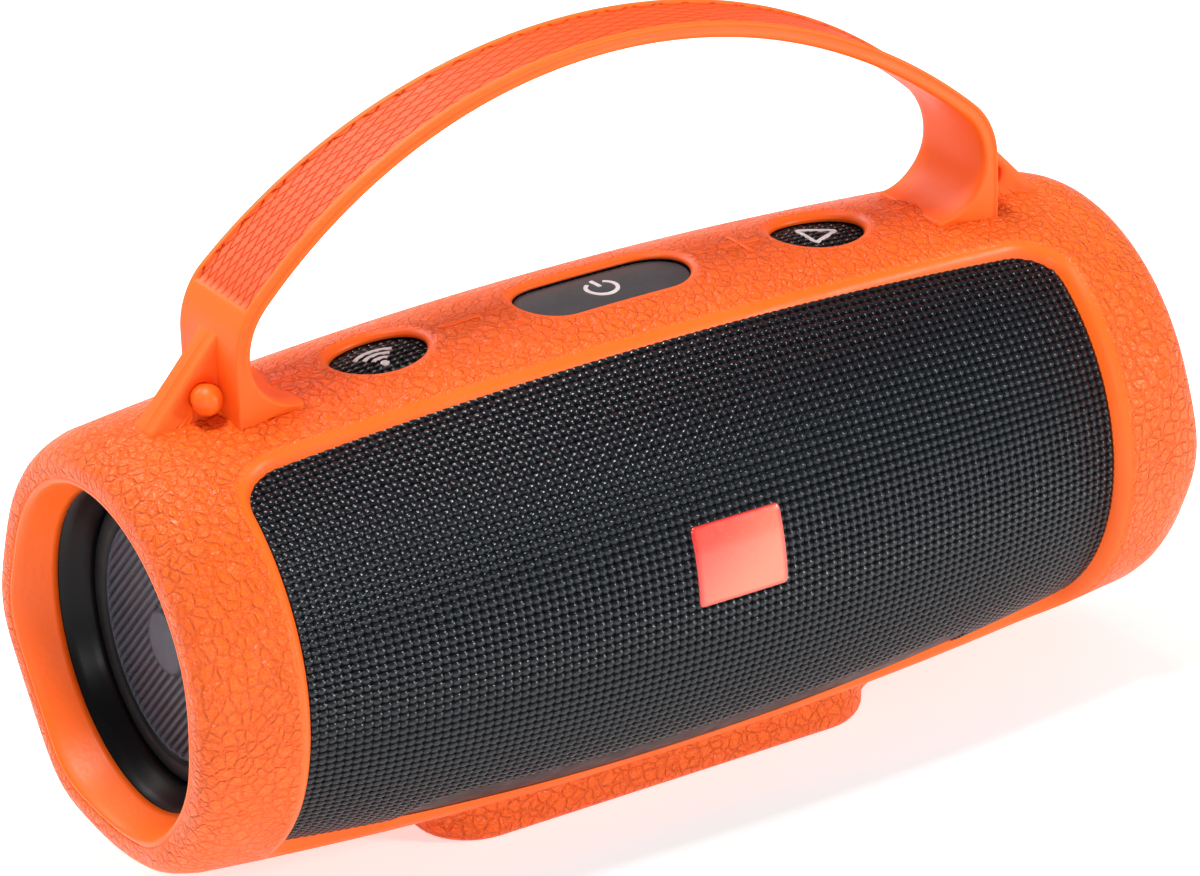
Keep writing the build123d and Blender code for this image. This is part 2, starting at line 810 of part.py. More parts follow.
tray_top = barrel(fabric_radius - port_cover_thickness - 0.4, housing_half_length)
tray_half_length = port_half_length
tray_half_width = 7.6
tray_floor = 36.0
tray_floor_thickness = 1.5
tray_wall = 1.2
port_places = {"usb_c_socket": -19.0, "card_slot": -6.5, "usb_a_socket": 8.0, "aux_socket": 20.0}
tray_plane = outward_plane(port_angle, tray_floor)
socket_base = board_distance + 0.05
socket_top = tray_floor + tray_floor_thickness


def socket_outline(name, grow):
    """Outside of a socket's shell, seen from behind the speaker."""
    with Locations((port_places[name], 0)):
        if name == "usb_c_socket":
            SlotOverall(9.0 + 2 * grow, 3.3 + 2 * grow)
        elif name == "card_slot":
            Rectangle(11.6 + 2 * grow, 2.4 + 2 * grow)
        elif name == "usb_a_socket":
            Rectangle(13.2 + 2 * grow, 5.8 + 2 * grow)
        else:
            Circle(3.2 + grow)


with BuildPart() as port_tray:
    with BuildSketch(tray_plane):
        RectangleRounded(2 * tray_half_length, 2 * tray_half_width, 3)
    extrude(amount=14)
    add(tray_top, mode=Mode.INTERSECT)
    with BuildSketch(tray_plane.offset(tray_floor_thickness)):
        RectangleRounded(2 * (tray_half_length - tray_wall), 2 * (tray_half_width - tray_wall), 2)
    extrude(amount=14, mode=Mode.SUBTRACT)
    with BuildSketch(tray_plane):
        for name in port_places:
            socket_outline(name, 0.1)
    extrude(amount=tray_floor_thickness, mode=Mode.SUBTRACT)
finish(port_tray, "port_tray")

for name, place in port_places.items():
    with BuildPart() as socket:
        with BuildSketch(outward_plane(port_angle, socket_base)):
            socket_outline(name, 0.0)
        extrude(amount=socket_top - socket_base)
        with BuildSketch(outward_plane(port_angle, socket_top)):
            with Locations((place, 0)):
                if name == "usb_c_socket":
                    SlotOverall(8.3, 2.6)
                    Rectangle(6.2, 0.7, mode=Mode.SUBTRACT)
                elif name == "card_slot":
                    Rectangle(11.0, 1.5)
                elif name == "usb_a_socket":
                    Rectangle(12.3, 4.9)
                    with Locations((0, 1.2)):
                        Rectangle(11.0, 1.6, mode=Mode.SUBTRACT)
                else:
                    Circle(1.8)
        extrude(amount=-8.0, mode=Mode.SUBTRACT)
    finish(socket, name)

with BuildPart() as port_cover:
    add(wedge(
        port_angle - port_half_angle, port_angle + port_half_angle, port_half_length,
        40, clear_outside, 3,
    ))
    add(fabric_body, mode=Mode.INTERSECT)
    add(barrel(fabric_radius - port_cover_thickness, fabric_half_length), mode=Mode.SUBTRACT)
    with BuildSketch(outward_plane(port_angle, fabric_radius - 2.0)):
        with Locations((0, 6.2)):
            SlotOverall(9, 1.6)
    extrude(amount=2.7)
finish(port_cover, "port_cover")
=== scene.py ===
import json
import bmesh
import bpy
import numpy as np
from math import atan2, cos, pi, radians, sin
from mathutils import Matrix, Vector
from mathutils.geometry import delaunay_2d_cdt


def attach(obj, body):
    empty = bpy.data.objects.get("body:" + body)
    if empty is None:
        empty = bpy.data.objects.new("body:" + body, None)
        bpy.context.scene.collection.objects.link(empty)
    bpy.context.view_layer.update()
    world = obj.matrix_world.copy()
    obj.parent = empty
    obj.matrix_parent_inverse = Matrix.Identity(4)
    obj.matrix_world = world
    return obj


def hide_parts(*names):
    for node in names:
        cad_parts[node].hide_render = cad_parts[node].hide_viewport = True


# Portable speaker in a silicone sleeve. Shapes are worked out in millimetres, in the frame's own axes,
# and become metres when a mesh is made. Angles go round the speaker from its top towards its front.

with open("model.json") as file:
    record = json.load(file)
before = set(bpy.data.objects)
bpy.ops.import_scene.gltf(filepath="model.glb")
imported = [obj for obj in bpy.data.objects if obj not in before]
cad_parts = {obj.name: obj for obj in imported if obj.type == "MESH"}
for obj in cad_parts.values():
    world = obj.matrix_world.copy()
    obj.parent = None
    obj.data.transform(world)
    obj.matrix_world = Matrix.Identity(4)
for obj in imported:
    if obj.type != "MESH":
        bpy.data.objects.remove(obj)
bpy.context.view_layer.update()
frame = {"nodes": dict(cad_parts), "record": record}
nodes = frame["nodes"]
metre = 0.001
mergeDistance = 0.004     # millimetres

speaker = {
    "axisHeight": 50.5,       # middle of the barrel over the floor
    "halfSpan": 88,         # where a barrel's drop is measured
    "fabricRadius": 45.6,
    "fabricDrop": 5.9,
    "sleeveRadius": 46.9,
    "sleeveDrop": 4,
    "boreGap": 0.1,
}


def barrelRadius(x, middle, drop):
    # radius of a long arc of revolution: middle radius less the arc's own drop at x
    curve = (speaker["halfSpan"] ** 2 + drop ** 2) / (2 * drop)
    return middle - curve + np.sqrt(curve ** 2 - x ** 2)


def sleeveFace(x):
    return barrelRadius(x, speaker["sleeveRadius"], speaker["sleeveDrop"])


def fabricFace(x, middle):
    # the fabric's own curve at any middle radius
    return barrelRadius(x, middle, speaker["fabricDrop"])


def aroundAxis(x, angle, radius):
    # point on a circle about the speaker's axis, the angle counted from the top to the front
    return np.stack([
        x + 0 * angle, -radius * np.sin(angle), speaker["axisHeight"] + radius * np.cos(angle)
    ], axis=-1)


def ramp(value, low, high):
    # smooth step from 0 at low to 1 at high
    t = np.clip((value - low) / (high - low), 0, 1)
    return t * t * (3 - 2 * t)


def gridFaces(rows, columns, closed=False, looped=False):
    # quads of a grid whose points run along its columns first; closed joins the last column to the first,
    # looped the last row to the first
    tall, wide = rows if looped else rows - 1, columns if closed else columns - 1
    row, column = np.meshgrid(np.arange(tall), np.arange(wide), indexing="ij")
    below, right = (row + 1) % rows * columns, (column + 1) % columns
    quads = [row * columns + column, row * columns + right, below + right, below + column]
    return np.stack(quads, axis=-1).reshape(-1, 4)


def shrunk(ring):
    # a ring drawn together at its middle; merging its doubles makes a pole
    return 0 * ring + ring.mean(0)


class Shell:
    # collects blocks of points and faces; a weight per point says how pebbled it is and how much painted
    # groove shade it gets, and place holds the coordinates of a pattern
    def __init__(self):
        self.points, self.faces, self.grain, self.place, self.count = [], [], [], [], 0

    def add(self, points, faces, grain=0, place=None, ends=()):
        points = np.asarray(points, float).reshape(-1, 3)
        place = np.zeros_like(points) if place is None else np.asarray(place, float).reshape(-1, 3)
        self.points.append(points)
        self.place.append(place)
        self.grain.append(np.broadcast_to(grain, len(points)).astype(float))
        self.faces += (np.asarray(faces) + self.count).tolist()
        self.faces += [(np.asarray(end) + self.count).tolist() for end in ends]
        self.count += len(points)

    def addBar(self, points, looped=False):
        # rows of points, each one round of a section; the last row meets the first or both ends are flat
        rows, columns = points.shape[:2]
        ends = () if looped else [range(columns), range((rows - 1) * columns, rows * columns)]
        self.add(points, gridFaces(rows, columns, closed=True, looped=looped), ends=ends)

    def addRings(self, rings, grain=0):
        # equal rings joined one after another, with one grain for all or one a ring
        grains = np.repeat(np.broadcast_to(grain, len(rings)), len(rings[0]))
        self.add(np.concatenate(rings), gridFaces(len(rings), len(rings[0]), closed=True), grains)


def addObject(name, data):
    made = bpy.data.objects.new(name, data)
    bpy.context.scene.collection.objects.link(made)
    return made


def makePiece(name, shell, slot, body="speaker_body", stands=(), look=None, closed=True):
    # look names the material where it isn't the slot's own
    mesh = bpy.data.meshes.new(name)
    mesh.from_pydata((np.concatenate(shell.points) * metre).tolist(), [], shell.faces)
    layers = (("grain", "FLOAT", "value", shell.grain), ("place", "FLOAT_VECTOR", "vector", shell.place))
    for label, kind, key, values in layers:
        layer = mesh.attributes.new(label, kind, "POINT")
        layer.data.foreach_set(key, np.concatenate(values).astype(np.float32).ravel())
    work = bmesh.new()
    work.from_mesh(mesh)
    bmesh.ops.remove_doubles(work, verts=work.verts, dist=mergeDistance * metre)
    bmesh.ops.dissolve_degenerate(work, edges=work.edges, dist=mergeDistance * metre * 0.5)
    if closed:
        bmesh.ops.recalc_face_normals(work, faces=work.faces)
    work.to_mesh(mesh)
    work.free()
    mesh.polygons.foreach_set("use_smooth", np.ones(len(mesh.polygons), bool))
    mesh.materials.append(materials[look or slot])
    piece = addObject(name, mesh)
    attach(piece, body)
    if stands:
        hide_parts(*stands)


def revolved(profile, side, steps=160):
    # a closed profile of (distance from the middle, radius) carried once round the axis; side mirrors it
    profile = np.asarray(profile, float)
    angle = np.linspace(0, 2 * pi, steps, endpoint=False)
    shell = Shell()
    shell.addBar(aroundAxis(side * profile[:, :1], angle, profile[:, 1:]), looped=True)
    return shell


def roundedLoop(half, corners, step):
    # closed outline of a rectangle with four own corner radii, and its outward directions;
    # each corner is a quarter arc about its own centre, each side a straight run
    points, outward = [], []
    signs = [(1, 1), (-1, 1), (-1, -1), (1, -1)]
    for k in range(4):
        radius, following = corners[k], corners[(k + 1) % 4]
        centre = np.array([signs[k][0] * (half[0] - radius), signs[k][1] * (half[1] - radius)])
        beyond = signs[(k + 1) % 4]
        target = np.array([beyond[0] * (half[0] - following), beyond[1] * (half[1] - following)])
        turn = k * pi / 2 + np.linspace(0, pi / 2, max(4, int(pi / 2 * radius / step)) + 1)
        direction = np.stack([np.cos(turn), np.sin(turn)], -1)
        points.append(centre + radius * direction)
        outward.append(direction)
        first, last = points[-1][-1], target + following * direction[-1]
        count = int(np.linalg.norm(last - first) / step)
        if count > 1:
            share = (np.arange(1, count) / count)[:, None]
            points.append(first + (last - first) * share)
            outward.append(np.repeat(direction[-1:], count - 1, 0))
    points, outward = np.concatenate(points), np.concatenate(outward)
    keep = np.linalg.norm(points - np.roll(points, 1, 0), axis=1) > 1e-6
    return points[keep], outward[keep]


def ovalLoop(half, step):
    # ellipse and its outward directions, which follow the gradient of its equation
    count = int(pi * (half[0] + half[1]) / step)
    turn = np.linspace(0, 2 * pi, count, endpoint=False)
    points = np.stack([half[0] * np.cos(turn), half[1] * np.sin(turn)], -1)
    outward = np.stack([np.cos(turn) / half[0], np.sin(turn) / half[1]], -1)
    return points, outward / np.linalg.norm(outward, axis=1)[:, None]


def insideLoop(points, loop):
    # even number of crossings of a level ray means outside
    after = np.roll(loop, -1, 0)
    across, up = points[:, :1], points[:, 1:]
    straddles = (loop[:, 1] > up) != (after[:, 1] > up)
    slope = (after[:, 0] - loop[:, 0]) / (after[:, 1] - loop[:, 1] + 1e-12)
    return (straddles & (across < loop[:, 0] + slope * (up - loop[:, 1]))).sum(1) % 2 == 1


def nearLoop(points, loop, gap):
    reach = np.full(len(points), 1e9)
    for part in np.array_split(loop, max(1, len(loop) // 64)):
        away = points[:, None, :] - part[None]
        reach = np.minimum(reach, (away ** 2).sum(-1).min(1))
    return reach < gap * gap


weaveShape = {
    "pitchAlong": 1.72, "pitchRound": 1.67,     # one cell of the weave
    "weftWidth": 2.1, "warpWidth": 1.75,        # larger is thinner
    "thread": 0.34, "lift": 0.75,               # half a thread's height, and its rise and fall in threads
    "samples": 4,                               # in one cell
    "angles": (radians(24.4), radians(151.6)), "half": 88.5,
    "base": 45.5, "sunk": 45.2,
    "footHalf": 62, "footAngle": radians(133), "footCorner": 9,
    # painted shade for the valleys between threads, painted highlight for the crests, then a lighter dust
    "paintedShade": (0.001, 0.0014, 0.002), "crestHighlight": (0.005, 0.007, 0.01), "dust": (0.02, 0.022, 0.026),
}

def feed(tree, node, inputs):
    # links what is a socket and sets what is a value
    for key, value in inputs.items():
        if isinstance(value, bpy.types.NodeSocket):
            tree.links.new(value, node.inputs[key])
        else:
            node.inputs[key].default_value = value
    return node


def put(tree, kind, inputs, **settings):
    node = tree.nodes.new(kind)
    for key, value in settings.items():
        setattr(node, key, value)
    return feed(tree, node, inputs)


def math(tree, operation, *values):
    return put(tree, "ShaderNodeMath", dict(enumerate(values)), operation=operation).outputs[0]


def mapped(tree, value, fromLow, fromHigh, toLow, toHigh, kind="SMOOTHSTEP"):
    ends = {"Value": value, "From Min": fromLow, "From Max": fromHigh, "To Min": toLow, "To Max": toHigh}
    return put(tree, "ShaderNodeMapRange", ends, interpolation_type=kind).outputs[0]


def newGroup(name, numbers, outputs):
    # a group that takes a vector and the named numbers, each with its usual value
    group = bpy.data.node_groups.new(name, "ShaderNodeTree")
    add = group.interface.new_socket
    add(name="Vector", in_out="INPUT", socket_type="NodeSocketVector")
    for label, value in numbers.items():
        add(name=label, in_out="INPUT", socket_type="NodeSocketFloat").default_value = value
    for label in outputs:
        add(name=label, in_out="OUTPUT", socket_type="NodeSocketFloat")
    return group, group.nodes.new("NodeGroupInput").outputs, group.nodes.new("NodeGroupOutput")


def useGroup(tree, group, **inputs):
    return put(tree, "ShaderNodeGroup", inputs, node_tree=group).outputs


def pebbleGroup():
    # domed pebbles between narrow grooves, of two sizes, the coordinates bent so that no cell is straight
    group, entry, leave = newGroup("pebbleGrain", {"Cells": 360}, ["Height", "Groove"])
    bend = put(group, "ShaderNodeTexNoise", {"Vector": entry["Vector"], "Scale": 260, "Detail": 2})
    centred = {0: bend.outputs["Color"], 1: (0.5, 0.5, 0.5)}
    shift = put(group, "ShaderNodeVectorMath", centred, operation="SUBTRACT")
    small = put(group, "ShaderNodeVectorMath", {0: shift.outputs[0], "Scale": 0.0022}, operation="SCALE")
    moved = put(group, "ShaderNodeVectorMath", {0: entry["Vector"], 1: small.outputs[0]}, operation="ADD")
    edges = []
    for cells in (entry["Cells"], math(group, "MULTIPLY", entry["Cells"], 2.1)):
        inputs = {"Vector": moved.outputs[0], "Scale": cells}
        edge = put(group, "ShaderNodeTexVoronoi", inputs, feature="DISTANCE_TO_EDGE")
        edges.append(edge.outputs["Distance"])
    dome = mapped(group, edges[0], 0, 0.2, 0, 1)
    speck = mapped(group, edges[1], 0, 0.16, 0, 0.35)
    groove = mapped(group, edges[0], 0, 0.07, 1, 0)
    feed(group, leave, {"Height": math(group, "ADD", dome, speck), "Groove": groove})
    return group


def mottleGroup():
    # slow and fine cloudiness between two values
    group, entry, leave = newGroup("mottle", {"Scale": 60, "Low": 0, "High": 1}, ["Value"])
    noise = {"Vector": entry["Vector"], "Scale": entry["Scale"], "Detail": 5}
    cloud = put(group, "ShaderNodeTexNoise", noise).outputs["Fac"]
    feed(group, leave, {"Value": mapped(group, cloud, 0.3, 0.7, entry["Low"], entry["High"], "LINEAR")})
    return group


def weaveGroup():
    # plain weave round the axis: in every other cell the thread along the speaker lies on top, in the rest
    # the thread round it; a thread's height is its round section plus or less a cosine lift
    group, entry, leave = newGroup("wovenMesh", {}, ["Height", "Strand"])
    w = weaveShape

    def do(operation, *values):
        return math(group, operation, *values)

    axes = put(group, "ShaderNodeSeparateXYZ", {0: entry["Vector"]}).outputs
    lifted = do("SUBTRACT", axes["Z"], speaker["axisHeight"] * metre)
    angle = do("ARCTAN2", do("MULTIPLY", axes["Y"], -1), lifted)
    around = do("MULTIPLY", angle, speaker["fabricRadius"] / w["pitchRound"])
    along = do("DIVIDE", axes["X"], w["pitchAlong"] * metre)
    cells = do("ADD", do("FLOOR", along), do("FLOOR", around))
    odd = do("MULTIPLY", do("FRACT", do("MULTIPLY", cells, 0.5)), 2)
    over = do("MULTIPLY_ADD", odd, -2, 1)
    heights = []
    threads = ((along, around, w["weftWidth"], w["lift"]), (around, along, w["warpWidth"], -w["lift"]))
    for own, other, width, rise in threads:
        run, side = (do("SUBTRACT", do("FRACT", value), 0.5) for value in (own, other))
        bent = do("POWER", do("ABSOLUTE", do("MULTIPLY", side, width)), 2)
        bulge = do("SQRT", do("MAXIMUM", do("SUBTRACT", 1, bent), 0))
        lift = do("MULTIPLY", do("COSINE", do("MULTIPLY", run, pi)), over)
        heights.append(do("MULTIPLY_ADD", lift, rise, bulge))
    slant = do("ADD", do("MULTIPLY", around, 9), do("MULTIPLY", along, 3))
    strand = do("SINE", do("MULTIPLY", slant, pi))
    feed(group, leave, {"Height": do("MAXIMUM", *heights), "Strand": strand})
    return group


pebbleGrain, mottle, wovenMesh = pebbleGroup(), mottleGroup(), weaveGroup()


def newMaterial(name):
    material = bpy.data.materials.new(name)
    material.use_nodes = True
    tree = material.node_tree
    vector = tree.nodes.new("ShaderNodeTexCoord").outputs["Object"]
    return material, tree, tree.nodes["Principled BSDF"], vector


def cloudy(tree, vector, scale, low=0, high=1):
    return useGroup(tree, mottle, Vector=vector, Scale=scale, Low=low, High=high)["Value"]


def attribute(tree, name, output="Fac"):
    return put(tree, "ShaderNodeAttribute", {}, attribute_name=name).outputs[output]


def blend(tree, share, first, second):
    # share 0 gives the first colour and 1 the second
    first, second = ((*colour, 1) if isinstance(colour, tuple) else colour for colour in (first, second))
    return put(tree, "ShaderNodeMix", {0: share, 6: first, 7: second}, data_type="RGBA").outputs[2]


def bumped(tree, height, distance, strength=1):
    inputs = {"Height": height, "Distance": distance, "Strength": strength}
    return put(tree, "ShaderNodeBump", inputs).outputs[0]


silicone = {
    "colour": (0.92, 0.118, 0.006),
    # painted shade: the darker red laid into the pebble grooves and the grip's cuts
    "paintedShade": (0.66, 0.035, 0.002),
    "pale": (0.96, 0.19, 0.025),
    "cells": 450,
    "grainDepth": 0.00042,
    "roughness": (0.34, 0.48),
    "specular": 0.3,
}


def siliconeMaterial(name, pebbled):
    material, tree, shader, vector = newMaterial(name)
    cloud = math(tree, "MULTIPLY", cloudy(tree, vector, 38), 0.25)
    fine = cloudy(tree, vector, 900)
    colour = blend(tree, cloud, silicone["colour"], silicone["pale"])
    if pebbled:
        grain = attribute(tree, "grain")
        pebbles = useGroup(tree, pebbleGrain, Vector=vector, Cells=silicone["cells"])
        # the pebble grooves are painted darker as shade
        groove = math(tree, "MULTIPLY", math(tree, "MULTIPLY", pebbles["Groove"], grain), 0.4)
        colour = blend(tree, groove, colour, silicone["paintedShade"])
        domes = math(tree, "MULTIPLY", pebbles["Height"], grain)
        normal = bumped(tree, math(tree, "MULTIPLY_ADD", fine, 0.05, domes), silicone["grainDepth"])
    else:
        normal = bumped(tree, fine, 0.00003, 0.6)
    rough = cloudy(tree, vector, 120, *silicone["roughness"])
    looks = {"Base Color": colour, "Roughness": rough, "Normal": normal}
    feed(tree, shader, {**looks, "Specular IOR Level": silicone["specular"]})
    return material


def handleMaterial():
    # long diamond cuts on the grip: distance to two sets of slanted lines, only on the panel; the panel and
    # its cuts are painted darker as shade
    material, tree, shader, vector = newMaterial("handleSilicone")
    axes = put(tree, "ShaderNodeSeparateXYZ", {0: attribute(tree, "place", "Vector")}).outputs
    along = math(tree, "DIVIDE", axes["X"], handle["cutLength"])
    across = math(tree, "DIVIDE", axes["Y"], handle["cutWidth"])
    lines = []
    for sign in (1, -1):
        total = math(tree, "ADD", along, math(tree, "MULTIPLY", across, sign))
        away = math(tree, "ABSOLUTE", math(tree, "SUBTRACT", math(tree, "FRACT", total), 0.5))
        lines.append(mapped(tree, away, 0, 0.13, 1, 0))
    cut = math(tree, "MULTIPLY", math(tree, "MAXIMUM", *lines), axes["Z"])
    colour = blend(tree, cloudy(tree, vector, 34, 0, 0.22), silicone["colour"], silicone["pale"])
    # the panel on top of the grip is painted a darker red as shade
    colour = blend(tree, math(tree, "MULTIPLY", axes["Z"], 0.75), colour, handle["panelShade"])
    # the cuts are painted darker as shade
    colour = blend(tree, math(tree, "MULTIPLY", cut, 0.75), colour, silicone["paintedShade"])
    height = math(tree, "SUBTRACT", math(tree, "MULTIPLY", cloudy(tree, vector, 700), 0.06), cut)
    feed(tree, shader, {
        "Base Color": colour, "Roughness": cloudy(tree, vector, 90, 0.46, 0.58),
        "Normal": bumped(tree, height, 0.0003), "Specular IOR Level": silicone["specular"],
    })
    return material


def fabricMaterial(name, bumpStrength):
    # weaker on the front, where the threads are in the mesh already and the bump only rounds them off
    material, tree, shader, vector = newMaterial(name)
    weave = useGroup(tree, wovenMesh, Vector=vector)
    cloud = cloudy(tree, vector, 500)
    # painted light: the valleys between threads are painted darker as shade and the crests lighter as a
    # highlight
    crestHighlight = mapped(tree, weave["Height"], 0.7, 1.6, 0, 1)
    colour = blend(tree, crestHighlight, weaveShape["paintedShade"], weaveShape["crestHighlight"])
    colour = blend(tree, math(tree, "MULTIPLY", cloud, 0.12), colour, weaveShape["dust"])
    height = math(tree, "MULTIPLY_ADD", weave["Strand"], 0.05, weave["Height"])
    feed(tree, shader, {
        "Base Color": colour, "Roughness": math(tree, "MULTIPLY_ADD", cloud, 0.08, 0.13),
        "Normal": bumped(tree, height, weaveShape["thread"] * metre, bumpStrength),
        "Specular IOR Level": mapped(tree, weave["Height"], 0.85, 1.6, 0.02, 0.36),
    })
    return material


# colour, darker colour, metal, roughness low and high, bump depth in millimetres, bump scale
finishes = {
    "black_rubber": ((0.012, 0.013, 0.015), (0.006, 0.006, 0.007), 0, 0.35, 0.5, 0.02, 900),
    "gloss_black": ((0.004, 0.004, 0.005), (0.002, 0.002, 0.003), 0, 0.3, 0.4, 0.006, 400),
    "radiator_grey": ((0.05, 0.058, 0.08), (0.04, 0.046, 0.065), 0, 0.34, 0.46, 0.012, 1200),
    "button_grey": ((0.062, 0.063, 0.069), (0.052, 0.053, 0.058), 0, 0.36, 0.44, 0.012, 2400),
    "housing_black": ((0.02, 0.02, 0.022), (0.012, 0.012, 0.013), 0, 0.45, 0.6, 0.03, 1100),
    "driver_steel": ((0.03, 0.03, 0.034), (0.018, 0.018, 0.02), 0.6, 0.3, 0.45, 0.015, 700),
    "magnet_steel": ((0.5, 0.5, 0.51), (0.34, 0.34, 0.35), 1, 0.22, 0.42, 0.012, 500),
    "cone_paper": ((0.022, 0.022, 0.024), (0.012, 0.012, 0.013), 0, 0.6, 0.8, 0.05, 1500),
    "coil_copper": ((0.72, 0.34, 0.14), (0.5, 0.2, 0.08), 1, 0.22, 0.35, 0.03, 2200),
    "battery_wrap": ((0.03, 0.12, 0.36), (0.02, 0.08, 0.26), 0, 0.25, 0.38, 0.01, 300),
    "board_green": ((0.008, 0.09, 0.03), (0.004, 0.05, 0.018), 0, 0.3, 0.42, 0.015, 800),
    "switch_metal": ((0.55, 0.55, 0.56), (0.4, 0.4, 0.41), 1, 0.25, 0.4, 0.01, 900),
    "socket_metal": ((0.58, 0.58, 0.6), (0.42, 0.42, 0.43), 1, 0.2, 0.36, 0.01, 900),
    "screw_steel": ((0.42, 0.42, 0.44), (0.3, 0.3, 0.31), 1, 0.25, 0.42, 0.012, 1200),
    "gasket_foam": ((0.02, 0.02, 0.02), (0.01, 0.01, 0.01), 0, 0.8, 0.95, 0.08, 1600),
    "mark_silver": ((0.72, 0.73, 0.74), (0.6, 0.61, 0.62), 0, 0.3, 0.4, 0.01, 1500),
    "mark_white": ((0.86, 0.86, 0.87), (0.76, 0.76, 0.77), 0, 0.35, 0.45, 0.01, 1500),
}
# specular level where it isn't the usual one
shine = {"gloss_black": 0.14, "black_rubber": 0.12, "radiator_grey": 0.2, "housing_black": 0.2}


def plainMaterial(name):
    colour, darker, metal, low, high, depth, scale = finishes[name]
    material, tree, shader, vector = newMaterial(name)
    shade = blend(tree, cloudy(tree, vector, scale * 0.12), colour, darker)
    if name == "radiator_grey":     # its grain marks the grooves
        # painted shade: the disc's grooves are painted nearly black
        shade = blend(tree, attribute(tree, "grain"), shade, (0.003, 0.003, 0.004))
    feed(tree, shader, {
        "Base Color": shade, "Roughness": cloudy(tree, vector, scale * 0.3, low, high),
        "Normal": bumped(tree, cloudy(tree, vector, scale), depth * metre, 0.7),
        "Metallic": metal, "Specular IOR Level": shine.get(name, 0.4),
    })
    return material


badge = {
    "angle": radians(80.2), "halfAngle": radians(9.6), "halfWidth": 9.6, "corner": 0.9,
    "base": 45.62, "proud": 0.68, "edge": 0.35,
    # the pale colour is a painted sheen towards one corner of the plate
    "colour": (0.82, 0.07, 0.045), "pale": (0.86, 0.22, 0.13), "rim": (0.6, 0.012, 0.01),
}


def badgeMaterial():
    # paler towards one corner of the plate as a painted sheen, dark red along its rim; place holds -1..1
    # over the plate
    material, tree, shader, vector = newMaterial("badgeRed")
    axes = put(tree, "ShaderNodeSeparateXYZ", {0: attribute(tree, "place", "Vector")}).outputs
    away = math(tree, "MAXIMUM", *(math(tree, "ABSOLUTE", axes[key]) for key in "XY"))
    paintedSheen = mapped(tree, math(tree, "ADD", axes["X"], axes["Y"]), -1.6, 1.3, 0, 1)
    colour = blend(tree, paintedSheen, badge["colour"], badge["pale"])
    colour = blend(tree, mapped(tree, away, 0.86, 0.98, 0, 0.75), colour, badge["rim"])
    fine = cloudy(tree, vector, 700, 0.2, 0.3)
    normal = bumped(tree, fine, 0.00001, 0.5)
    feed(tree, shader, {"Base Color": colour, "Roughness": fine, "Normal": normal, "Coat Weight": 0.4})
    return material


sleeve = {
    "half": 101,               # where the barrel gives way to the end rims
    "boreShift": 0.2,          # the bore stops this much short of that
    "spacing": 2,              # between the points of its outer face
    "seamAngle": radians(-60),
    "windowAngles": (radians(26.2), radians(149.5)),
    "windowHalf": 87.75,
    "windowCorners": (11, 4.5, 8, 9),    # low right, low left, top left, top right
    "dip": 1.5,                # the lower lip sags this much in its middle
    "dipHalf": 24,
    "slotHalf": (18.2, 8),
    "ovalHalf": (9.5, 8),
    "ovalX": 48,
    "portAngles": (radians(236.8), radians(262.2)),
    "portHalf": 29,
    # how far outside the opening each ring of the lip stands, and how far down through the wall it is
    "windowLip": [
        (3.4, 0), (2.9, 0.03), (2.2, 0.1), (1.5, 0.23), (0.85, 0.45), (0.4, 0.72), (0.1, 0.93), (0, 1),
    ],
    "buttonLip": [(2.2, 0), (1.6, 0.05), (1, 0.15), (0.45, 0.34), (0.12, 0.62), (0, 1)],
    # foot pad: first rings of (outside its plan outline, flare, drop below the barrel) where it leaves the
    # barrel, then rings of (outside its plan outline, height) round its edge down to the floor
    "padHalf": (49, 18.5), "padCorner": 12,
    "padBlend": [(0.2, 3.6, 0.5), (0.1, 2, 1.05), (0, 0.9, 1.7), (0, 0.2, 2.4)], "padBlendLowest": 2.35,
    "padEdge": [(0, 2.2), (-0.3, 1.2), (-1, 0.35), (-2.3, 0)],
    "keepOff": 1.1,            # free strip between the even points and an outline
    # end rim: along, radius, share of the waves, weight of pebbles and painted groove shade; it starts on
    # the outer face and ends on the bore
    "rim": [
        (101, None, 0, 1), (103, 41.1, 0.15, 1), (105, 40.45, 0.4, 1), (106.8, 39.6, 0.7, 1),
        (108.1, 38.6, 0.9, 1), (108.8, 37.6, 1, 1), (109, 36.4, 1, 1), (109, 35, 1, 1),
        (108.9, 34.5, 1, 0.6), (108.65, 34.3, 1, 0), (108.85, 34.05, 1, 0), (108.8, 33.5, 1, 0),
        (108.3, 33.15, 1, 0), (107, 32.75, 0.8, 0), (104.5, 31.9, 0.4, 0), (102, 31, 0.1, 0),
        (100.8, 30.5, 0, 0), (100.8, 33.5, 0, 0), (100.8, 36.5, 0, 0), (100.8, None, 0, 0),
    ],
    "lobes": (95, 150, 210, 265), "lobeWidth": 15,          # degrees round the speaker
    "lobeDip": 0.75, "lobeSwell": 0.7, "lobeRest": 0.25,    # millimetres
}
flat = speaker["sleeveRadius"]     # millimetres of arc for one radian on the unrolled sleeve


def sleevePoint(spread, depth):
    # unrolled point (along, round) to space; depth 0 is the outer face and 1 the bore
    x, angle = spread[:, 0], spread[:, 1] / flat
    outer, inner = sleeveFace(x), fabricFace(x, speaker["fabricRadius"] + speaker["boreGap"])
    shortened = x * (1 - depth * sleeve["boreShift"] / sleeve["half"])
    return aroundAxis(shortened, angle, outer + (inner - outer) * depth)


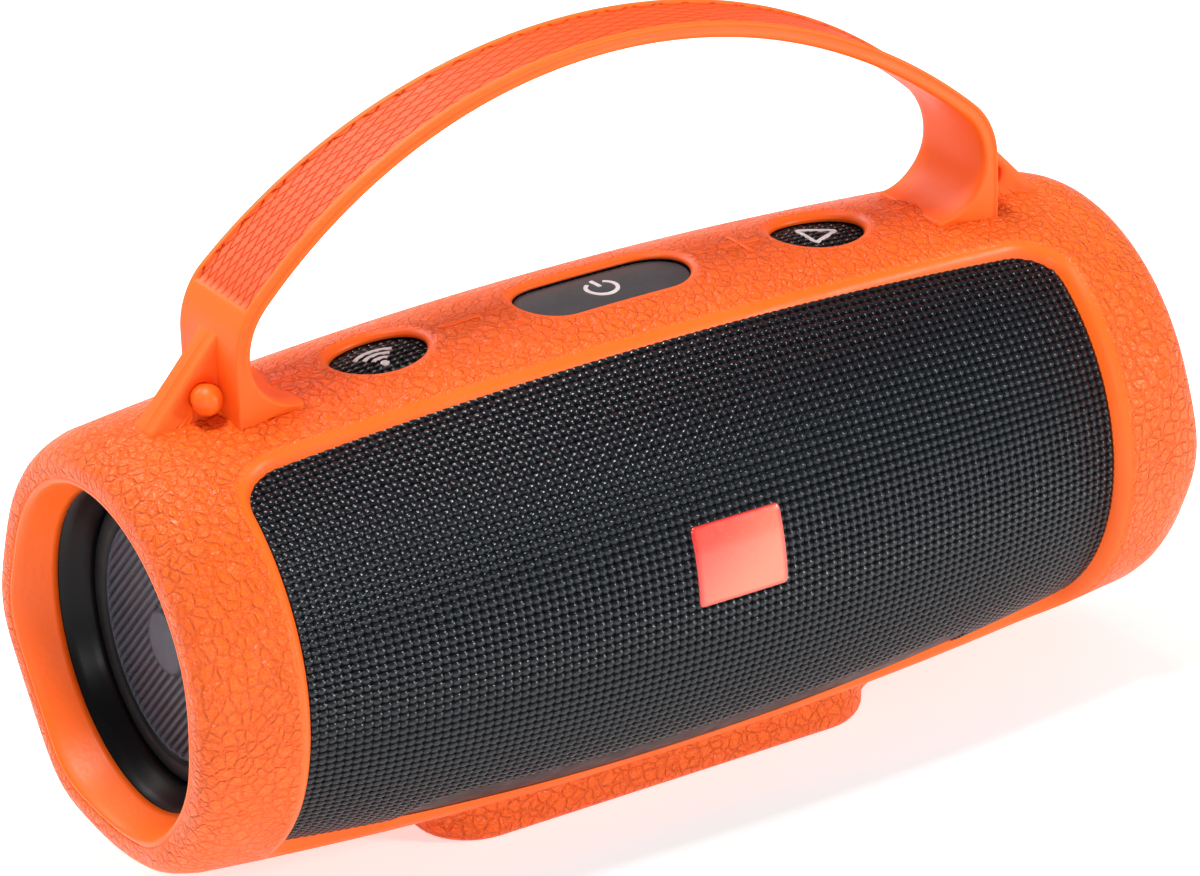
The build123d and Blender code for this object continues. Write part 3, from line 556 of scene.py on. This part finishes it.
def windowLoop(grow, step=1.6):
    # rounded rectangle on the unrolled sleeve whose lower side sags smoothly about the middle
    top, bottom = (a * flat for a in sleeve["windowAngles"])
    half = (sleeve["windowHalf"], (bottom - top) / 2)
    points, outward = roundedLoop(half, sleeve["windowCorners"], step)
    points = points + outward * grow
    sag = 1 - ramp(np.abs(points[:, 0]), 0.45 * sleeve["dipHalf"], 1.2 * sleeve["dipHalf"])
    points[:, 1] += sleeve["dip"] * sag * (points[:, 1] > 0)
    return points + [0, (top + bottom) / 2]


def portLoop(grow, step=1.4):
    low, high = (a * flat for a in sleeve["portAngles"])
    points, outward = roundedLoop((sleeve["portHalf"], (high - low) / 2), (5,) * 4, step)
    return points + outward * grow + [0, (low + high) / 2]


def slotLoop(grow, step=1.1):
    radius = sleeve["slotHalf"][1] - 1e-3
    points, outward = roundedLoop(sleeve["slotHalf"], (radius,) * 4, step)
    return points + outward * grow


def ovalAt(x):
    def loop(grow, step=1):
        points, outward = ovalLoop(sleeve["ovalHalf"], step)
        return points + outward * grow + [x, 0]
    return loop


def padPlan(grow, flare=0):
    # flare lengthens both ends, as a hollow curve does where the pad leaves the barrel
    corner = (sleeve["padCorner"],) * 4
    points, outward = roundedLoop(sleeve["padHalf"], corner, 2)
    points = points + outward * grow
    points[:, 0] += np.sign(points[:, 0]) * flare * ramp(np.abs(points[:, 0]), 20, sleeve["padHalf"][0])
    return points


def planToUnrolled(plan):
    # a plan point under the barrel, as along and round
    return np.stack([plan[:, 0], (pi + np.arcsin(plan[:, 1] / sleeveFace(plan[:, 0]))) * flat], -1)


def evenPoints(start, loops):
    # staggered points over the unrolled barrel, kept clear of every outline
    s = sleeve
    rowCount, columnCount = 2 * round(pi * flat / s["spacing"]), round(2 * s["half"] / s["spacing"])
    rounds = start + 2 * pi * flat * np.arange(rowCount + 1) / rowCount
    x, t = np.meshgrid(s["half"] * (2 * np.arange(columnCount + 1) / columnCount - 1), rounds)
    inner = np.zeros_like(x, bool)
    inner[1::2, 1:-1] = True
    x = np.minimum(x + inner * s["spacing"] / 2, s["half"])
    points = np.stack([x.ravel(), t.ravel()], -1)
    fixed = np.abs(points[:, 0]) > s["half"] - 0.01
    fixed |= (points[:, 1] < start + 0.01) | (points[:, 1] > rounds[-1] - 0.01)
    keep = ~(inner.ravel() & (points[:, 0] > s["half"] - 0.6))
    for loop in loops:
        keep &= ~(insideLoop(points, loop) | nearLoop(points, loop, s["keepOff"])) | fixed
    return points[keep], rounds


def buildSleeve():
    s = sleeve
    shell = Shell()
    edges = [
        (windowLoop, s["windowLip"]), (portLoop, s["buttonLip"]), (slotLoop, s["buttonLip"]),
        (ovalAt(-s["ovalX"]), s["buttonLip"]), (ovalAt(s["ovalX"]), s["buttonLip"]),
    ]
    padRing = planToUnrolled(padPlan(0.5, 6))
    loops = [loop(lip[0][0]) for loop, lip in edges] + [padRing]
    points, rounds = evenPoints(s["seamAngle"] * flat, loops)

    # both faces: triangles between the even points and the outlines, less those inside an outline
    constraints, first = [], len(points)
    for loop in loops:
        number = np.arange(len(loop)) + first
        constraints += np.stack([number, np.roll(number, -1)], -1).tolist()
        first += len(loop)
    corners = [Vector(point) for point in np.concatenate([points] + loops).tolist()]
    result = delaunay_2d_cdt(corners, constraints, [], 0, 1e-5)
    spread = np.array([tuple(v) for v in result[0]])
    triangles = np.array([f for f in result[2] if len(f) == 3])
    spans = spread[triangles]
    area = np.abs(np.cross(spans[:, 1] - spans[:, 0], spans[:, 2] - spans[:, 0]))
    hidden = np.zeros(len(triangles), bool)
    for loop in loops:
        hidden |= insideLoop(spans.mean(1), loop)
    triangles = triangles[~hidden & (area > 1e-6)]
    print("sleeve face:", len(triangles), "triangles")
    shell.add(sleevePoint(spread, 0), triangles, 1)
    shell.add(sleevePoint(spread, 1), triangles[:, ::-1], 0)

    # lips: rings through the wall, then back out along the bore to the start of the face
    for loop, lip in edges:
        rings = [sleevePoint(loop(grow), depth) for grow, depth in lip + [(lip[0][0], 1)]]
        shell.addRings(rings, [1, 0.45] + [0] * (len(rings) - 2))

    # foot pad: down from the barrel, round its lower edge, then shrinking rings to the middle
    rings = [sleevePoint(padRing, 0)]
    for grow, flare, drop in s["padBlend"]:
        plan = padPlan(grow, flare)
        hang = np.sqrt(sleeveFace(plan[:, 0]) ** 2 - plan[:, 1] ** 2)
        height = np.maximum(speaker["axisHeight"] - hang - drop, s["padBlendLowest"])
        rings.append(np.column_stack([plan, height]))
    for grow, height in s["padEdge"]:
        plan = padPlan(grow)
        rings.append(np.column_stack([plan, 0 * plan[:, 0] + height]))
    shares = (0.8, 0.6, 0.4, 0.2, 0.05, 0)
    shell.addRings(rings + [rings[-1] * (share, share, 1) for share in shares], 1)
    middle = np.array([0, pi * flat])
    shell.addRings([sleevePoint(middle + (padRing - middle) * share, 1) for share in (1,) + shares])

    # end rims: a profile round each end, which weaves in and out a little
    angles = rounds[:-1] / flat
    swell = sum(np.exp(-((np.degrees(angles) % 360 - lobe) / s["lobeWidth"]) ** 2) for lobe in s["lobes"])
    swell = np.minimum(swell, 1)
    edge, bore = sleeveFace(s["half"]), fabricFace(s["half"], speaker["fabricRadius"] + speaker["boreGap"])
    for side in (-1, 1):
        rings = []
        for number, (along, radius, share, grain) in enumerate(s["rim"]):
            radius = radius or (edge if number == 0 else bore)
            x = side * (along - share * s["lobeDip"] * (1 - swell))
            rings.append(aroundAxis(x, angles, radius + share * (s["lobeSwell"] * swell - s["lobeRest"])))
        shell.addRings(rings, [row[3] for row in s["rim"]])
    makePiece("silicone_sleeve_skin", shell, "silicone", stands=["silicone_sleeve"])


volumeMarks = {
    "x": 30.5, "arm": 4.6, "halfWidth": 0.55, "height": 0.32,
    "partings": [(23.2, 2.5), (35.7, 0.5), (68, 7.4), (95.5, 4.5)],     # middle and half length
    "partingHalf": 0.16, "partingHeight": 0.12,
}


def raisedBar(shell, x, direction, halfLength, halfWidth, height):
    # a low bar on the barrel: a rounded section carried along a straight line of the unrolled surface
    along = np.linspace(-halfLength, halfLength, 24)
    section = np.array([
        (-1, -0.6), (-0.95, 0.5), (-0.6, 0.95), (0, 1), (0.6, 0.95), (0.95, 0.5), (1, -0.6),
    ])
    aside = np.array([-direction[1], direction[0]])
    narrow = np.sqrt(np.clip(1 - (np.abs(along) / halfLength) ** 12, 0.02, 1))[:, None, None]
    spread = (x, 0) + along[:, None, None] * np.array(direction)
    spread = spread + section[:, :1] * halfWidth * narrow * aside
    lift = section[:, 1] * height * narrow[..., 0]
    shell.addBar(aroundAxis(spread[..., 0], spread[..., 1] / flat, sleeveFace(spread[..., 0]) + lift))


def buildVolumeMarks():
    shell = Shell()
    v = volumeMarks
    for x, direction in ((-v["x"], (1, 0)), (v["x"], (1, 0)), (v["x"], (0, 1))):
        raisedBar(shell, x, direction, v["arm"], v["halfWidth"], v["height"])
    for middle, half in v["partings"]:
        for side in (-1, 1):
            raisedBar(shell, side * middle, (1, 0), half, v["partingHalf"], v["partingHeight"])
    makePiece("volume_marks", shell, "silicone", look="silicone_smooth")


def threadHeight(x, t):
    # the same plain weave as the shader's, in millimetres: the higher of the two threads at every point
    w = weaveShape
    along, around = x / w["pitchAlong"], t / w["pitchRound"]
    over = 1 - 2 * ((np.floor(along) + np.floor(around)) % 2)
    run, side = along % 1 - 0.5, around % 1 - 0.5
    weft = np.sqrt(np.clip(1 - (w["weftWidth"] * side) ** 2, 0, 1)) + over * w["lift"] * np.cos(pi * run)
    warp = np.sqrt(np.clip(1 - (w["warpWidth"] * run) ** 2, 0, 1)) - over * w["lift"] * np.cos(pi * side)
    return w["thread"] * np.maximum(weft, warp)


def outsideRounded(x, t, half, corner):
    # distance outside a rounded rectangle about the origin, negative inside
    dx, dt = np.abs(x) - (half[0] - corner), np.abs(t) - (half[1] - corner)
    return np.hypot(np.maximum(dx, 0), np.maximum(dt, 0)) + np.minimum(np.maximum(dx, dt), 0) - corner


def buildWeave():
    # the threads' height over the barrel's radius on an even grid, which sinks under the sleeve and the foot
    w = weaveShape
    radius = speaker["fabricRadius"]
    stepX, stepT = w["pitchAlong"] / w["samples"], w["pitchRound"] / w["samples"]
    first = w["angles"][0] * radius
    x = (np.arange(round(-w["half"] / stepX), round(w["half"] / stepX)) + 0.5) * stepX
    t = (np.arange(round(first / stepT), round(w["angles"][1] * radius / stepT)) + 0.5) * stepT
    x, t = np.meshgrid(x, t)
    top, bottom = sleeve["windowAngles"]
    middle, halfT = (top + bottom) / 2 * radius, (bottom - top) / 2 * radius
    away = outsideRounded(x, t - middle, (sleeve["windowHalf"], halfT + 1.2), 6)
    footHalf = (pi - w["footAngle"]) * radius
    footAway = outsideRounded(x, t - pi * radius, (w["footHalf"], footHalf), w["footCorner"])
    shown = (1 - ramp(away, 0, 0.7)) * ramp(footAway, -0.3, 0.25)
    height = w["base"] + threadHeight(x, t)
    drop = fabricFace(x, radius) - radius
    points = aroundAxis(x, t / radius, w["sunk"] + (height - w["sunk"]) * shown + drop)
    faces = gridFaces(*x.shape)[:, ::-1]
    shell = Shell()
    shell.add(points, faces)
    print("weave:", len(faces), "faces")
    makePiece("front_weave", shell, "speaker_fabric", look="raisedWeave", closed=False)


handle = {
    "centre": -16.2, "arch": 110, "thickness": 3.2,
    "bend": (66.2, 54.7), "bendRadius": 13, "toe": 10.5,
    "midWidth": 15, "legWidth": 21.3, "widthEnd": 76,
    "recess": 0.55, "panelEnd": 0.16,    # the panel's end, radians round the bend
    "rootHeight": 39, "seat": 0.7,
    # the panel's colour is a darker red painted as shade
    "cutLength": 6.2, "cutWidth": 2.15, "panelShade": (0.84, 0.062, 0.003),
    "gussetHalf": 3.1, "gussetTop": (78, 62.7), "gussetFoot": (97.1, 41.7),
    "hole": (85.8, 47.3), "holeRadius": 2.5,
    # half the section, from the middle of the inner face round to the panel: inset from the side, 0 for the
    # inner or 1 for the outer face, height over that face, share of the panel's recess
    "section": [
        (99, 0, 0, 0), (3, 0, 0, 0), (1.3, 0, 0.02, 0), (0.5, 0, 0.2, 0), (0.12, 0, 0.55, 0),
        (0, 0, 1, 0), (0.05, 0, 1.35, 0), (0.3, 1, -1.55, 0), (0.38, 1, -1.15, 0), (0.34, 1, -0.8, 0),
        (0.02, 1, -0.55, 0), (0.04, 1, -0.25, 0), (0.3, 1, -0.03, 0), (0.7, 1, 0, 0), (1.1, 1, -0.03, 0),
        (1.32, 1, 0, 0.15), (1.4, 1, 0, 0.4), (1.5, 1, 0, 1), (2.4, 1, 0, 1), (4.5, 1, 0, 1),
    ],
}


def seatHeight(x, y):
    # top of the sleeve less a little, so that what stands on it reaches into it
    return np.sqrt(np.maximum((sleeveFace(x) - handle["seat"]) ** 2 - y ** 2, 0))


def handlePath():
    # inner and outer edge of half the handle, from its top: the arch, the bend, then the flared leg
    h = handle
    bx, bz = h["bend"]
    meet = atan2(bz - h["centre"], bx)
    arch = np.linspace(pi / 2, meet, 150)
    bend = np.linspace(meet, 0, 22)[1:]
    leg = np.linspace(0, pi / 2, 22)[1:]

    def ray(centre, radius, a):
        return np.stack([centre[0] + radius * np.cos(a), centre[1] + radius * np.sin(a)], -1)

    inner = [ray((0, h["centre"]), h["arch"], arch), ray((bx, bz), h["bendRadius"], bend),
             ray((bx + h["bendRadius"] - h["toe"], bz), h["toe"], -leg)]
    outer = [ray((0, h["centre"]), h["arch"] + h["thickness"], arch),
             ray((bx, bz), h["bendRadius"] + h["thickness"], bend)]
    back = bx + h["bendRadius"] + h["thickness"]
    outer.append(np.stack([0 * leg + back, bz - (bz - h["rootHeight"]) * leg / (pi / 2)], -1))
    inner.append(inner[-1][-1:] - [0, 4])
    outer.append(outer[-1][-1:] - [0, 1])
    last = meet - h["panelEnd"]
    panel = [0 * arch + 1, ramp(bend, last - 0.02, last + 0.02), 0 * leg, [0]]
    return np.concatenate(inner), np.concatenate(outer), np.concatenate(panel)


def buildHandle():
    # a rounded section with a raised border, carried between the inner and the outer edge
    h = handle
    inner, outer, panel = handlePath()
    inner, outer = (np.concatenate([edge[::-1] * (-1, 1), edge[1:]]) for edge in (inner, outer))
    panel = np.concatenate([panel[::-1], panel[1:]])[:, None]
    across = outer - inner
    thick = np.linalg.norm(across, axis=1)[:, None]
    across /= thick
    spread = np.clip(np.abs(inner[:, :1]) / h["widthEnd"], 0, 1) ** 2
    half = (h["midWidth"] + (h["legWidth"] - h["midWidth"]) * spread) / 2
    inset, onOuter, height, sunk = np.array(h["section"]).T
    w = np.maximum(half - inset, 0)
    n = onOuter * thick + height - sunk * h["recess"] * panel
    mask = (sunk == 1).astype(float)
    # the middle of the panel joins the two halves at the top, the middle of the inner face at the bottom
    top = thick - h["recess"] * panel
    w = np.concatenate([w, 0 * top, -w[:, :0:-1]], 1)
    n = np.concatenate([n, top, n[:, :0:-1]], 1)
    mask = np.concatenate([mask, [1], mask[:0:-1]])
    plane = inner[:, None, :] + across[:, None, :] * n[..., None]
    x, z = plane[..., 0], np.maximum(plane[..., 1], seatHeight(plane[..., 0], w))
    points = np.stack([x, w, z + speaker["axisHeight"]], -1)
    length = np.concatenate([[0], np.cumsum(np.linalg.norm(np.diff(outer, axis=0), axis=1))])
    # the third coordinate marks the panel, which the grip's material cuts and paints darker as shade
    place = np.stack([length[:, None] + 0 * w, w, mask * panel], -1)
    shell = Shell()
    points = np.concatenate([shrunk(points[0])[None], points, shrunk(points[-1])[None]])
    place = np.pad(place, ((1, 1), (0, 0), (0, 0)))
    shell.add(points, gridFaces(*points.shape[:2], closed=True), 0, place)
    for side in (-1, 1):
        addGusset(shell, side)
    makePiece("carry_handle_skin", shell, "silicone_smooth", stands=["carry_handle"], look="handle")


def addGusset(shell, side):
    # rays from the hole's middle to the plate's outline; rings from hole to outline and over its edges
    h = handle
    hx, hz = h["hole"]
    footX, footZ = h["gussetFoot"]
    corners = np.array([
        h["gussetTop"], (footX - 0.5, footZ + 0.5), (footX, footZ - 1.5),
        (footX, 37), (81.4, 37), (81.4, 56),
    ])
    towards = np.arctan2(corners[:, 1] - hz, corners[:, 0] - hx)
    turns = np.sort(np.concatenate([np.linspace(-pi, pi, 120, endpoint=False), towards]))
    ray = np.stack([np.cos(turns), np.sin(turns)], -1)
    after = np.roll(corners, -1, 0)
    edge, offset = after - corners, corners - np.array([hx, hz])
    bottom = ray[:, None, 0] * edge[None, :, 1] - ray[:, None, 1] * edge[None, :, 0]
    bottom = np.where(np.abs(bottom) < 1e-9, 1e-9, bottom)
    reach = (offset[None, :, 0] * edge[None, :, 1] - offset[None, :, 1] * edge[None, :, 0]) / bottom
    share = (offset[None, :, 0] * ray[:, None, 1] - offset[None, :, 1] * ray[:, None, 0]) / bottom
    good = (reach > 0) & (share > -1e-6) & (share < 1 + 1e-6)
    far = np.where(good, reach, 1e9).min(1)
    half = h["gussetHalf"]
    hole = 0 * far + h["holeRadius"]
    between = hole + (far - hole) * 0.5
    rings = [
        (hole, -half + 0.3), (hole + 0.3, -half), (between, -half), (far - 0.5, -half),
        (far - 0.12, -half + 0.25), (far, -half + 0.7), (far, -0.18), (far + 0.14, -0.1),
    ]
    rings += [(away, -y) for away, y in rings[::-1]] + [(hole, 0)]
    points = []
    for away, y in rings:
        x, z = hx + ray[:, 0] * away, hz + ray[:, 1] * away
        z = np.where(np.abs(away - h["holeRadius"]) < 1e-6, z, np.maximum(z, seatHeight(x, y + 0 * x)))
        points.append(np.stack([side * x, y + 0 * x, z + speaker["axisHeight"]], -1))
    # its last ring joins its first, so that the plate is closed round its hole
    shell.addBar(np.stack(points), looped=True)


ends = {
    "frame": [
        (100.75, 30.75), (100.55, 30.4), (99, 29.6), (97, 28.5), (95.8, 27.75), (95.2, 27.6),
        (93.3, 27.6), (93.3, 38), (99, 38), (100.6, 38), (100.75, 34),
    ],
    "surround": [
        (93.4, 21.6), (94.2, 23.2), (94.75, 23.3), (95.1, 24.2), (95.3, 25.4), (95.2, 26.6),
        (94.8, 27.1), (94.2, 27.3), (92.5, 27.3), (92.5, 21.6),
    ],
    "discRadius": 23.1, "discFace": 94.8, "discBack": 93.4, "ridgePitch": 1.6, "ridgeDepth": 0.42,
    "bossRadius": 6.2, "bossRise": 0.55, "turns": 400,
}


def buildEnds():
    e = ends
    for side, word in ((-1, "left"), (1, "right")):
        stands = [word + "_end_frame"]
        makePiece(word + "_end_frame_skin", revolved(e["frame"], side), "gloss_black", stands=stands)
        body, stands = word + "_radiator", [word + "_radiator_surround"]
        makePiece(word + "_surround_skin", revolved(e["surround"], side), "black_rubber", body, stands)
        # disc: rings by turns, sunk along slanted grooves, with a plain round boss in its middle
        boss, radius, face, back = e["bossRadius"], e["discRadius"], e["discFace"], e["discBack"]
        rings = np.concatenate([
            np.linspace(0.02, boss + 0.25, 12), np.linspace(boss + 0.45, radius - 0.5, 84),
        ])
        turns = np.linspace(0, 2 * pi, e["turns"], endpoint=False)
        r, a = np.meshgrid(rings, turns, indexing="ij")
        phase = r * (np.cos(a) - np.sin(a)) / np.sqrt(2) / e["ridgePitch"]
        groove = ramp(np.abs(phase % 1 - 0.5), 0.26, 0.36)
        groove *= ramp(r, boss + 0.2, boss + 0.4) * (1 - ramp(r, radius - 1, radius - 0.7))
        x = face - e["ridgeDepth"] * groove + e["bossRise"] * (1 - ramp(r, boss - 0.35, boss + 0.2))
        points = aroundAxis(side * x, a, r)
        outer = [(face - 0.12, radius - 0.15), (face - 0.4, radius)]
        outer += [(back, away) for away in (radius, 12, 0.02)]
        rim = np.stack([aroundAxis(side * along, turns, away) for along, away in outer])
        points = np.concatenate([shrunk(points[0])[None], points, rim, shrunk(rim[-1])[None]])
        # the grooves' mask, kept as painted shade for the disc's colour
        paintedGrooveShade = np.pad(groove, ((1, len(outer) + 1), (0, 0)))
        shell = Shell()
        shell.add(points, gridFaces(*points.shape[:2], closed=True), paintedGrooveShade.ravel())
        makePiece(word + "_disc_skin", shell, "radiator_grey", body, [word + "_radiator_disc"])


caps = {
    "slotHalf": (17.9, 7.7), "ovalHalf": (9.8, 8.3), "ovalX": 48,
    "powerTop": 45.2, "ovalTop": 45.3, "skirt": 2, "markHalf": 0.42, "markHeight": 0.16,
}


def capPoints(plan, top, lift):
    # plan points (along, towards the front) on the barrel of the given top radius, raised by lift
    x, y = plan[..., 0], plan[..., 1]
    height = np.sqrt(np.maximum((fabricFace(x, top) + lift) ** 2 - y ** 2, 0))
    return np.stack([x, -y, speaker["axisHeight"] + height], -1)


def buildCap(name, outline, centre, top, slot, body):
    # shrinking rings of the outline to its middle, with a rounded edge and a skirt
    edge = 0.94
    skirt = capPoints(outline + [centre, 0], top, -caps["skirt"])
    rings = [shrunk(skirt) - [0, 0, 0.5], skirt]
    for share in np.concatenate([np.linspace(1, edge, 6), np.linspace(0.9, 0.02, 34)]):
        plan = outline * share + [centre, 0]
        bulge = np.sqrt(np.clip(1 - ((share - edge) / (1 - edge)) ** 2, 0, 1)) if share > edge else 1
        lift = -0.7 * (1 - bulge) + 0.1 * (1 - share)
        if slot == "speaker_fabric":
            lift = lift + 0.8 * threadHeight(plan[:, 0], plan[:, 1]) * (1 - ramp(share, 0.93, 1)) - 0.3
        rings.append(capPoints(plan, top, lift))
    shell = Shell()
    shell.addRings(rings + [shrunk(rings[-1])])
    makePiece(name, shell, slot, body)


def buildMark(name, lines, top, slot, body, look):
    # flat strips with round edges along given lines on a cap
    shell = Shell()
    section = np.array([(-1, -3), (-0.95, 0.6), (-0.6, 1), (0.6, 1), (0.95, 0.6), (1, -3)])
    for line, looped in lines:
        ahead, behind = np.roll(line, -1, 0), np.roll(line, 1, 0)
        if not looped:
            ahead[-1], behind[0] = line[-1], line[0]
        tangent = ahead - behind
        tangent /= np.linalg.norm(tangent, axis=1)[:, None]
        aside = np.stack([-tangent[:, 1], tangent[:, 0]], -1)
        plan = line[:, None, :] + aside[:, None, :] * section[:, :1] * caps["markHalf"]
        shell.addBar(capPoints(plan, top, section[:, 1] * caps["markHeight"]), looped)
    makePiece(name, shell, slot, body, look=look)


def arcLine(centre, radius, first, last, count=40):
    a = np.linspace(radians(first), radians(last), count)
    return np.stack([centre[0] + radius * np.cos(a), centre[1] + radius * np.sin(a)], -1)


def triangleLine(centre, size):
    # three sides with rounded corners, the point towards the front and a little to the left
    turn = np.radians([122, 242, 362])
    corners = np.stack([centre[0] + size * 1.05 * np.cos(turn), centre[1] + size * np.sin(turn)], -1)
    sides = []
    for k in range(3):
        share = np.linspace(0.06, 0.94, 10)[:, None]
        sides.append(corners[k] + (corners[(k + 1) % 3] - corners[k]) * share)
    return np.concatenate(sides)


def buildButtons():
    c = caps
    slot = roundedLoop(c["slotHalf"], (c["slotHalf"][1] - 1e-3,) * 4, 0.9)[0]
    oval = ovalLoop(c["ovalHalf"], 0.36)[0]
    buildCap("power_cap", slot, 0, c["powerTop"], "button_grey", "power_button")
    for word, side in (("wireless", -1), ("play", 1)):
        buildCap(word + "_cap", oval, side * c["ovalX"], c["ovalTop"], "speaker_fabric", word + "_button")
    bar = np.stack([np.zeros(12), np.linspace(-3.9, -0.6, 12)], -1)
    left = (-c["ovalX"], 2.6)
    waves = [(arcLine(left, radius, -132, -48), False) for radius in (2.2, 4, 5.8)]
    marks = {
        "power": [(arcLine((0, 0), 3, -55, 235, 60), False), (bar, False)],
        "wireless": waves + [(arcLine(left, 0.45, 0, 340, 24), False)],
        "play": [(triangleLine((c["ovalX"], -0.6), 4.3), True)],
    }
    for word, lines in marks.items():
        top, slot, look = c["ovalTop"] + 0.2, "speaker_fabric", "mark_silver"
        if word == "power":
            top, slot, look = c["powerTop"] + 0.1, "button_grey", "mark_white"
        buildMark(word + "_mark", lines, top, slot, word + "_button", look)


def buildBadge():
    # a curved plate: its outline shrinks in rings over a rounded edge to an even top
    b = badge
    radius, top = b["base"], b["proud"]
    half = np.array([b["halfWidth"], b["halfAngle"] * radius])
    outline = roundedLoop(half, (b["corner"],) * 4, 0.6)[0]
    steps = [(0, -0.3), (0, top - b["edge"]), (0.05, top - 0.2), (0.18, top - 0.05), (0.4, top)]
    rings = [(outline * (1 - inset / half), lift) for inset, lift in steps]
    rings += [(outline * (1 - 0.4 / half) * share, top) for share in np.linspace(0.9, 0.05, 12)]
    points = []
    for spread, lift in rings:
        x, angle = spread[:, 0], b["angle"] + spread[:, 1] / radius
        points.append(aroundAxis(x, angle, fabricFace(x, radius + lift)))
    points = np.stack([shrunk(points[0])] + points + [shrunk(points[-1])])
    place = np.pad(np.stack([spread / half for spread, lift in rings]), ((1, 1), (0, 0), (0, 1)))
    shell = Shell()
    shell.add(points, gridFaces(*points.shape[:2], closed=True), 0, place)
    makePiece("badge_plate_skin", shell, "badge_red", stands=["badge_plate"])


view = {
    "place": (-0.5483, -0.9055, 0.5470), "azimuth": 31.12, "elevation": 24.47, "roll": -2.24, "lens": 186.7,
    "world": 0.26, "floorGlow": 0.5,
    "lamps": [      # name, place, aimed at, width and height, watts
        ("keyLight", (-0.2, 0, 1), (0, 0, 0.06), 0.36, 0.14, 9),
        ("frontLight", (0.8, -0.85, 0.4), (0.05, 0, 0.05), 0.13, 0.32, 8),
        ("leftLight", (-0.75, -1, 0.5), (-0.05, 0, 0.05), 0.16, 0.1, 3),
        ("backLight", (-0.2, 0.8, 0.7), (0, 0, 0.06), 0.9, 0.3, 6),
    ],
}


def buildStage():
    mesh = bpy.data.meshes.new("floor")
    mesh.from_pydata([(-4, -4, 0), (4, -4, 0), (4, 4, 0), (-4, 4, 0)], [], [(0, 1, 2, 3)])
    material, tree, shader = newMaterial("paleFloor")[:3]
    feed(tree, shader, {
        "Base Color": (0.92, 0.92, 0.92, 1), "Roughness": 0.8, "Specular IOR Level": 0.1,
        "Emission Color": (1, 1, 1, 1), "Emission Strength": view["floorGlow"],
    })
    mesh.materials.append(material)
    addObject("floor", mesh)

    world = bpy.data.worlds.new("studio")
    world.use_nodes = True
    tree = world.node_tree
    feed(tree, tree.nodes["Background"], {"Color": (1, 1, 1, 1), "Strength": view["world"]})
    bpy.context.scene.world = world

    for name, place, target, width, height, watts in view["lamps"]:
        data = bpy.data.lights.new(name, "AREA")
        data.shape, data.size, data.size_y, data.energy = "RECTANGLE", width, height, watts
        lamp = addObject(name, data)
        lamp.location = place
        lamp.rotation_euler = (Vector(target) - Vector(place)).to_track_quat("-Z", "Y").to_euler()

    data = bpy.data.cameras.new("camera")
    data.lens, data.sensor_width, data.clip_start = view["lens"], 36, 0.05
    camera = addObject("camera", data)
    azimuth, elevation = radians(view["azimuth"]), radians(view["elevation"])
    forward = Vector((sin(azimuth) * cos(elevation), cos(azimuth) * cos(elevation), -sin(elevation)))
    right = forward.cross(Vector((0, 0, 1))).normalized()
    right = Matrix.Rotation(radians(-view["roll"]), 3, forward) @ right
    turned = Matrix((right, right.cross(forward), -forward)).transposed().to_4x4()
    camera.matrix_world = Matrix.Translation(view["place"]) @ turned
    bpy.context.scene.camera = camera
    bpy.context.scene.view_settings.view_transform = "Standard"


materials = {name: plainMaterial(name) for name in finishes}
materials.update({
    "silicone": siliconeMaterial("pebbledSilicone", True),
    "silicone_smooth": siliconeMaterial("smoothSilicone", False),
    "speaker_fabric": fabricMaterial("wovenFabric", 1),
    "badge_red": badgeMaterial(),
    "raisedWeave": fabricMaterial("raisedWeave", 0.75),
    "handle": handleMaterial(),
})
for part in frame["record"]["subparts"]:
    mesh = nodes[part["node"]].data
    mesh.materials.clear()
    mesh.materials.append(materials[part["material_slot"]])
print("materials done")

buildSleeve()
buildVolumeMarks()
print("sleeve done")
buildWeave()
buildHandle()
print("handle done")
buildEnds()
buildButtons()
buildBadge()
print("ends, buttons and badge done")
buildStage()
